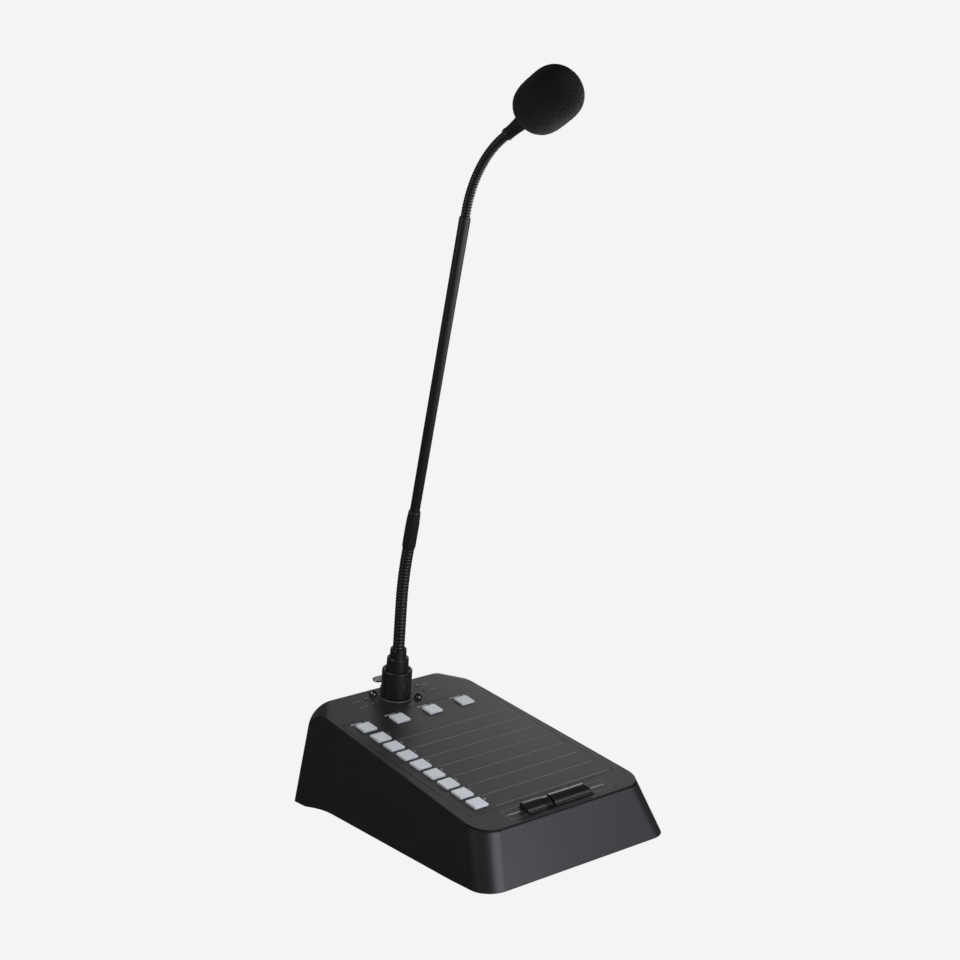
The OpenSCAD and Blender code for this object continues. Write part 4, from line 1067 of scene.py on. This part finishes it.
def make_windscreen(place):
    """Windscreen: a drum with a rounded back and a domed front, roughened like cut foam."""
    n = bpy.context.scene.paging_neck
    radius = n.foam_width / 2 - n.foam_grain / 2
    hole, deep = n.ferrule_high + 0.15 * MM, 28.2 * MM
    rows, columns, rear_power, dome_power = 90, 288, 4, 2.6

    def side(share, power):
        return radius * (1 - share ** power) ** (1 / power)

    shares = [math.sin(math.pi / 2 * k / rows) for k in range(rows + 1)]
    rear = [(side(t, rear_power), n.foam_rear * (1 - t)) for t in reversed(shares)]
    dome = [(side(t, dome_power), n.foam_rear + n.foam_dome * t) for t in shares[1:]]
    body = [p for p in rear if p[0] > hole] + dome
    outline = [(0, deep), (hole, deep), (hole, 2 * MM), (hole, 0.4 * MM)] + body
    foam = lathe("foam_windscreen", outline, columns)
    grain = bpy.data.textures.new("foam_grain", "CLOUDS")
    grain.noise_scale = 1.1 * MM
    grain.noise_depth = 2
    cover = foam.vertex_groups.new(name="cover")
    skin = [v.index for v in foam.data.vertices if v.co.xy.length > hole + MM or v.co.z > deep + MM]
    cover.add(skin, 1, "REPLACE")
    modify(foam, "DISPLACE", texture=grain, texture_coords="LOCAL", strength=n.foam_grain, mid_level=0.5,
           vertex_group="cover")
    smooth(foam, 180)
    put(foam, place)
    dress(foam, "foam", "head", "windscreen")


def make_tab():
    """Release tab: a rounded steel thumb plate on a stem between the socket's ears."""
    width, depth, thick = 16.6 * MM, 7.6 * MM, 1.3 * MM
    middle, axis = Vector((0, 14.9, 7.7)) * MM, Vector((0, 13.2, 1.6)) * MM
    trunnion, reach = 0.6 * MM, 2.4 * MM
    plate = block("thumb_plate", (-width / 2, -depth / 2, -thick), (width / 2, depth / 2, 0))
    bevel(plate, depth / 2 - 0.05 * MM, 10, lambda e: abs(e.verts[0].co.z - e.verts[1].co.z) > 0.5 * MM)
    bevel(plate, 0.3 * MM, 3, lambda e: e.calc_face_angle(0) > 1)
    put(plate, Matrix.Translation(middle))
    stem = block("stem", Vector((-1.2, 12.4, 1.0)) * MM, Vector((1.2, 14.0, 6.9)) * MM)
    pin = rod("trunnion", trunnion, (0, 0, -reach), 2 * reach, SMALL)
    put(pin, Matrix.Translation(axis) @ Matrix.Rotation(math.pi / 2, 4, "Y"))
    tab = unite("release_plate", plate, stem, pin)
    even_normals(tab, 40)
    dress(put(tab, socket_place()), "tab", "release_tab", "release_tab")


def ink_bar(x1, y1, x2, y2):
    """A printed bar on the top, a hair above it."""
    low, high = 0.004 * MM, 0.03 * MM
    return block("ink", (x1, y1, low), (x2, y2, high))


def ink_frame(x1, x2, y1, y2, gap, half):
    """A printed rectangle whose near side is open between two places."""
    for left, right in ((x1, gap[0]), (gap[1], x2)):
        yield ink_bar(left, y1 - half, right, y1 + half)
    yield ink_bar(x1, y2 - half, x2, y2 + half)
    for x in (x1, x2):
        yield ink_bar(x - half, y1, x + half, y2)


def ink_text(words, x, y, height):
    """Printed figures, centred on a place."""
    half, middle, size_for_height = 0.012 * MM, 0.018 * MM, 1.4
    bpy.ops.object.select_all(action="DESELECT")
    bpy.ops.object.text_add()
    text = bpy.context.object
    text.data.body = words
    text.data.size = height * size_for_height
    text.data.align_x = "CENTER"
    text.data.align_y = "CENTER"
    text.data.extrude = half
    bpy.ops.object.convert(target="MESH")
    return put(bpy.context.object, Matrix.Translation((x, y, middle)))


def make_print():
    """Printed lines beside the zone keys, plain numbers, marks, and the frame round the talk keys."""
    _, k, n = settings()
    half = k.ink_width / 2
    digit = 1.9 * MM
    lines, marks = [], []
    line_left, line_right, line_down = -36.2 * MM, 53.75 * MM, 7.89 * MM
    digit_x, digit_up = -37.0 * MM, 2.7 * MM
    for i in range(ZONE_COUNT):
        y = k.zone_y - i * k.zone_pitch
        lines.append(ink_bar(line_left, y - line_down - half, line_right, y - line_down + half))
        marks.append(ink_text(str(i + 1), digit_x, y + digit_up, digit))
    bars, bar_start, bar_pitch, bar_wide, bar_half = 5, -6.5 * MM, 1.75 * MM, 1.15 * MM, 0.75 * MM
    group_y, group_digit = k.group_y + 8.1 * MM, 4.8 * MM
    for i in range(GROUP_COUNT):
        x = -k.zone_x + i * k.group_pitch
        for c in range(bars):
            left = x + bar_start + c * bar_pitch
            marks.append(ink_bar(left, group_y - bar_half, left + bar_wide, group_y + bar_half))
        marks.append(ink_text(str(i + 1), x + group_digit, group_y, digit))
    lamp_out, lamp_long, lamp_half = 7.0 * MM, 3.0 * MM, 0.35 * MM
    for x, y in LAMP_SPOTS:
        middle, row = x + math.copysign(lamp_out, x), n.socket_y + y
        lines.append(ink_bar(middle - lamp_long, row - lamp_half, middle + lamp_long, row + lamp_half))
    ends, rows, slot = (-39.2 * MM, 42 * MM), (4.8 * MM, 15.8 * MM), (-26.4 * MM, 27.2 * MM)
    lines += ink_frame(*ends, *rows, slot, half * 0.6)
    tick_y, tick_pitch, tick_wide = 10.3 * MM, 1.25 * MM, 0.45 * MM
    for start, count in ((-37.6 * MM, 8), (28.8 * MM, 9)):
        for c in range(count):
            tall = (0.55 + 0.2 * (c % 3)) * MM
            left = start + c * tick_pitch
            marks.append(ink_bar(left, tick_y - tall, left + tick_wide, tick_y + tall))
    dress(put(unite("panel_lines", *lines), top_place()), "ink", "base")
    dress(put(unite("panel_marks", *marks), top_place()), "marks", "base")


def make_feet():
    """Rubber feet: turned pads with a rounded rim and a shallow dish."""
    dish, top = 0.35 * MM, 5.5 * MM
    outline = rounded([(0, dish, 0), (3.6 * MM, dish, 0.3 * MM), (4.2 * MM, 0, 0.3 * MM),
                       (6 * MM, 0, 0.5 * MM), (7 * MM, top, 0.3 * MM), (0, top, 0)], 4)
    foot = smooth(lathe("foot", outline, 40), 40)
    places = [Matrix.Translation((x, y, 0)) for x, y in FOOT_SPOTS]
    dress(unite("foot_pads", *spread_out(foot, places)), "feet", "base", "rubber_feet")


def make_contacts():
    """Data socket: eight sprung contact wires in its mouth."""
    count, middle, pitch, half = 8, -22 * MM, 1.02 * MM, 0.18 * MM
    front, rear, low, high = 92 * MM, 102.6 * MM, 18.05 * MM, 18.45 * MM
    spring, edge = (0, -0.8 * MM, 2.4 * MM), 0.08 * MM
    wire = block("wire", (-half, front, low), (half, rear, high))
    with editing(wire):
        pick(wire, "FACE", lambda f: f.normal.y < -0.9)
        bpy.ops.mesh.extrude_region_move(TRANSFORM_OT_translate={"value": spring})
    bevel(wire, edge, 2, lambda e: abs(e.verts[0].co.x - e.verts[1].co.x) < 0.01 * MM)
    places = [Matrix.Translation((middle + (i - (count - 1) / 2) * pitch, 0, 0)) for i in range(count)]
    dress(smooth(unite("contact_wires", *spread_out(wire, places)), 40), "contact", "base")


def dress_solids():
    """Gives every solid the finish of its slot."""
    slots = {part["node"]: part["material_slot"] for part in frame["record"]["subparts"]}
    for name, obj in frame["nodes"].items():
        obj.data.materials.clear()
        obj.data.materials.append(finishes()[slots[name]])


# Stage

def make_camera():
    """Camera at the photograph's place: front left, a little above."""
    data = bpy.data.cameras.new("photo_camera")
    data.lens = bpy.context.scene.paging_stage.lens
    data.sensor_width = 36.0
    data.clip_end = 50.0
    camera = bpy.data.objects.new("photo_camera", data)
    bpy.context.collection.objects.link(camera)
    right = Vector((0.785239, -0.618593, -0.027244))
    up = Vector((0.150517, 0.148016, 0.977464))
    back = Vector((-0.600620, -0.771644, 0.209336))
    place = Vector((-0.7239, -0.9438, 0.4796))
    turn = Matrix((right, up, back)).transposed()
    camera.matrix_world = Matrix.Translation(place) @ turn.to_4x4()
    bpy.context.scene.camera = camera


def soft_lamp(name, power, colour, side, up, distance, aim, size, spread):
    """A square softbox: degrees to the right of the front, degrees up, distance and the point it faces."""
    data = bpy.data.lights.new(name, "AREA")
    data.size = size
    data.energy = power
    data.color = colour
    data.spread = math.radians(spread)
    lamp = bpy.data.objects.new(name, data)
    bpy.context.collection.objects.link(lamp)
    side, up = math.radians(side), math.radians(up)
    away = Vector((math.sin(side) * math.cos(up), -math.cos(side) * math.cos(up), math.sin(up))) * distance
    lamp.location = Vector(aim) + away
    lamp.rotation_euler = (-away).to_track_quat("-Z", "Y").to_euler()
    lamp.visible_camera = False
    return lamp


def camera_sees(tree, seen, other, target):
    """Shows one shader to the camera and another to everything else."""
    ray = tree.nodes.new("ShaderNodeLightPath")
    mix = tree.nodes.new("ShaderNodeMixShader")
    tree.links.new(ray.outputs["Is Camera Ray"], mix.inputs["Fac"])
    tree.links.new(other, mix.inputs[1])
    tree.links.new(seen, mix.inputs[2])
    tree.links.new(mix.outputs["Shader"], target)


def floor_finish():
    """Pale floor: an even tone for the camera, and a faint glow for the object."""
    colour = (*bpy.context.scene.paging_finish.floor, 1)
    material = bpy.data.materials.new("pale_floor")
    material.use_nodes = True
    tree = material.node_tree
    tree.nodes.clear()
    tone = tree.nodes.new("ShaderNodeEmission")
    glow = tree.nodes.new("ShaderNodeEmission")
    for node in (tone, glow):
        node.inputs["Color"].default_value = colour
    glow.inputs["Strength"].default_value = bpy.context.scene.paging_stage.floor_glow
    out = tree.nodes.new("ShaderNodeOutputMaterial")
    camera_sees(tree, tone.outputs["Emission"], glow.outputs["Emission"], out.inputs["Surface"])
    return material


def make_floor():
    """A wide pale disc under the object."""
    bpy.ops.object.select_all(action="DESELECT")
    bpy.ops.mesh.primitive_circle_add(vertices=FINE, radius=40, fill_type="NGON")
    floor = bpy.context.object
    floor.name = "studio_floor"
    floor.data.materials.append(floor_finish())


def make_world():
    """Dim, even light from all round, in which the camera sees the floor's tone."""
    scene = bpy.context.scene
    world = bpy.data.worlds.new("studio")
    world.use_nodes = True
    tree = world.node_tree
    sky = tree.nodes["Background"]
    sky.inputs["Color"].default_value = (1, 1, 1, 1)
    sky.inputs["Strength"].default_value = scene.paging_stage.ambient
    seen = tree.nodes.new("ShaderNodeBackground")
    seen.inputs["Color"].default_value = (*scene.paging_finish.floor, 1)
    camera_sees(tree, seen.outputs["Background"], sky.outputs["Background"],
                tree.nodes["World Output"].inputs["Surface"])
    scene.world = world
    scene.view_settings.view_transform = "Standard"


COOL, PLAIN = (0.95, 0.985, 1.06), (1, 1, 1)
BASE, KEYS, NECK = (0, 0, 0.06), (0, -0.02, 0.05), (0, 0, 0.2)
HEAD, REAR = (0, -0.05, 0.42), (0, 0.08, 0.035)
# Name, power and this lamp's share of it, colour, then side, up, distance, aim, size and spread
SOFTBOXES = (
    ("front_lamp", "front_power", 0.78, COOL, 0, 12, 0.5, BASE, 0.36, 180),
    ("front_right_lamp", "front_power", 0.22, COOL, 30, 12, 0.5, BASE, 0.36, 180),
    ("left_lamp", "left_power", 1, PLAIN, -100, 20, 0.6, NECK, 0.3, 180),
    ("head_lamp_1", "head_power", 0.27, PLAIN, 60, -25, 0.5, HEAD, 0.3, 60),
    ("head_lamp_2", "head_power", 0.46, PLAIN, 95, -25, 0.5, HEAD, 0.14, 60),
    ("head_lamp_3", "head_power", 0.27, PLAIN, 60, -60, 0.5, HEAD, 0.3, 60),
    ("rear_lamp_1", "rear_power", 0.26, PLAIN, 125, 26, 1.6, BASE, 0.24, 180),
    ("rear_lamp_2", "rear_power", 0.48, PLAIN, 135, 22, 1.6, BASE, 0.24, 180),
    ("rear_lamp_3", "rear_power", 0.26, PLAIN, 146, 20, 1.6, BASE, 0.24, 180),
    ("back_lamp_1", "back_power", 0.3, PLAIN, 100, 5, 0.6, REAR, 0.16, 70),
    ("back_lamp_2", "back_power", 0.35, PLAIN, 150, 5, 0.6, REAR, 0.16, 70),
    ("back_lamp_3", "back_power", 0.35, PLAIN, 178, 5, 0.6, REAR, 0.16, 70),
    ("top_lamp", "top_power", 1, PLAIN, -120, 60, 0.9, KEYS, 0.4, 36),
)


def make_light():
    """Softboxes round the object."""
    stage = bpy.context.scene.paging_stage
    lamps = {}
    for name, power, share, colour, *place in SOFTBOXES:
        lamps[name] = soft_lamp(name, share * getattr(stage, power), colour, *place)
        # The back lamps give no shine, which would burn out the rear corners in the main view
        lamps[name].visible_glossy = power != "back_power"
    # This lamp lights the foam's right side, and would burn out the tube's right edge
    unlit = bpy.data.collections.new("kept_from_head_lamp")
    unlit.objects.link(bpy.data.objects["tube_body"])
    unlit.collection_objects[0].light_linking.link_state = "EXCLUDE"
    lamps["head_lamp_2"].light_linking.receiver_collection = unlit


# Operators and panel

class PAGING_OT_solids(bpy.types.Operator):
    """Gives the solid parts their finishes"""
    bl_idname = "paging.solids"
    bl_label = "Finish solids"

    def execute(self, context):
        dress_solids()
        return {"FINISHED"}


class PAGING_OT_housing(bpy.types.Operator):
    """Models the moulded housing"""
    bl_idname = "paging.housing"
    bl_label = "Housing"

    def execute(self, context):
        make_shell()
        return {"FINISHED"}


class PAGING_OT_caps(bpy.types.Operator):
    """Models the call keys"""
    bl_idname = "paging.caps"
    bl_label = "Call keys"

    def execute(self, context):
        make_caps()
        return {"FINISHED"}


class PAGING_OT_talk_keys(bpy.types.Operator):
    """Models the two talk keys"""
    bl_idname = "paging.talk_keys"
    bl_label = "Talk keys"

    def execute(self, context):
        make_talk_keys()
        return {"FINISHED"}


class PAGING_OT_printing(bpy.types.Operator):
    """Prints the lines and numbers on the top"""
    bl_idname = "paging.printing"
    bl_label = "Printing"

    def execute(self, context):
        make_print()
        return {"FINISHED"}


class PAGING_OT_plug(bpy.types.Operator):
    """Models the plug, its screws, the release tab and the lamps"""
    bl_idname = "paging.plug"
    bl_label = "Plug"

    def execute(self, context):
        make_plug()
        make_screws()
        make_tab()
        make_lamps()
        return {"FINISHED"}


class PAGING_OT_tube(bpy.types.Operator):
    """Models the sleeve and the tube"""
    bl_idname = "paging.tube"
    bl_label = "Tube"

    def execute(self, context):
        make_tube()
        return {"FINISHED"}


class PAGING_OT_hoses(bpy.types.Operator):
    """Models the wound flexible parts"""
    bl_idname = "paging.hoses"
    bl_label = "Flexible parts"

    def execute(self, context):
        make_hoses()
        return {"FINISHED"}


class PAGING_OT_head(bpy.types.Operator):
    """Models the ferrule and the windscreen"""
    bl_idname = "paging.head"
    bl_label = "Head"

    def execute(self, context):
        make_head()
        return {"FINISHED"}


class PAGING_OT_underside(bpy.types.Operator):
    """Models the feet and the data socket's contacts"""
    bl_idname = "paging.underside"
    bl_label = "Feet and sockets"

    def execute(self, context):
        make_feet()
        make_contacts()
        return {"FINISHED"}


class PAGING_OT_stage(bpy.types.Operator):
    """Makes the floor, the light and the camera"""
    bl_idname = "paging.stage"
    bl_label = "Stage"

    def execute(self, context):
        make_floor()
        make_world()
        make_light()
        make_camera()
        return {"FINISHED"}


# In the order in which they run; the light needs the tube, so the stage comes last
OPERATORS = (
    PAGING_OT_solids, PAGING_OT_housing, PAGING_OT_caps, PAGING_OT_talk_keys, PAGING_OT_printing,
    PAGING_OT_plug, PAGING_OT_tube, PAGING_OT_hoses, PAGING_OT_head, PAGING_OT_underside,
    PAGING_OT_stage,
)


class PAGING_PT_panel(bpy.types.Panel):
    """Lists the steps and the sizes"""
    bl_label = "Paging microphone"
    bl_idname = "PAGING_PT_panel"
    bl_space_type = "VIEW_3D"
    bl_region_type = "UI"
    bl_category = "Paging microphone"

    def draw(self, context):
        for kind in OPERATORS:
            self.layout.operator(kind.bl_idname)
        for name in GROUPS:
            group = getattr(context.scene, name)
            for prop in group.bl_rna.properties:
                if not prop.is_readonly and prop.identifier != "name":
                    self.layout.prop(group, prop.identifier)


GROUPS = {"paging_base": PagingBase, "paging_keys": PagingKeys, "paging_neck": PagingNeck,
          "paging_finish": PagingFinish, "paging_stage": PagingStage}


def register():
    """Adds the groups of sizes, the operators and the panel."""
    for name, group in GROUPS.items():
        bpy.utils.register_class(group)
        setattr(bpy.types.Scene, name, PointerProperty(type=group))
    for kind in OPERATORS:
        bpy.utils.register_class(kind)
    bpy.utils.register_class(PAGING_PT_panel)


def unregister():
    """Takes the panel, the operators and the groups of sizes away."""
    bpy.utils.unregister_class(PAGING_PT_panel)
    for kind in reversed(OPERATORS):
        bpy.utils.unregister_class(kind)
    for name, group in GROUPS.items():
        delattr(bpy.types.Scene, name)
        bpy.utils.unregister_class(group)


def main():
    """Models all pieces in order."""
    register()
    for kind in OPERATORS:
        getattr(bpy.ops.paging, kind.bl_idname.split(".")[1])()


if __name__ == "__main__":
    main()
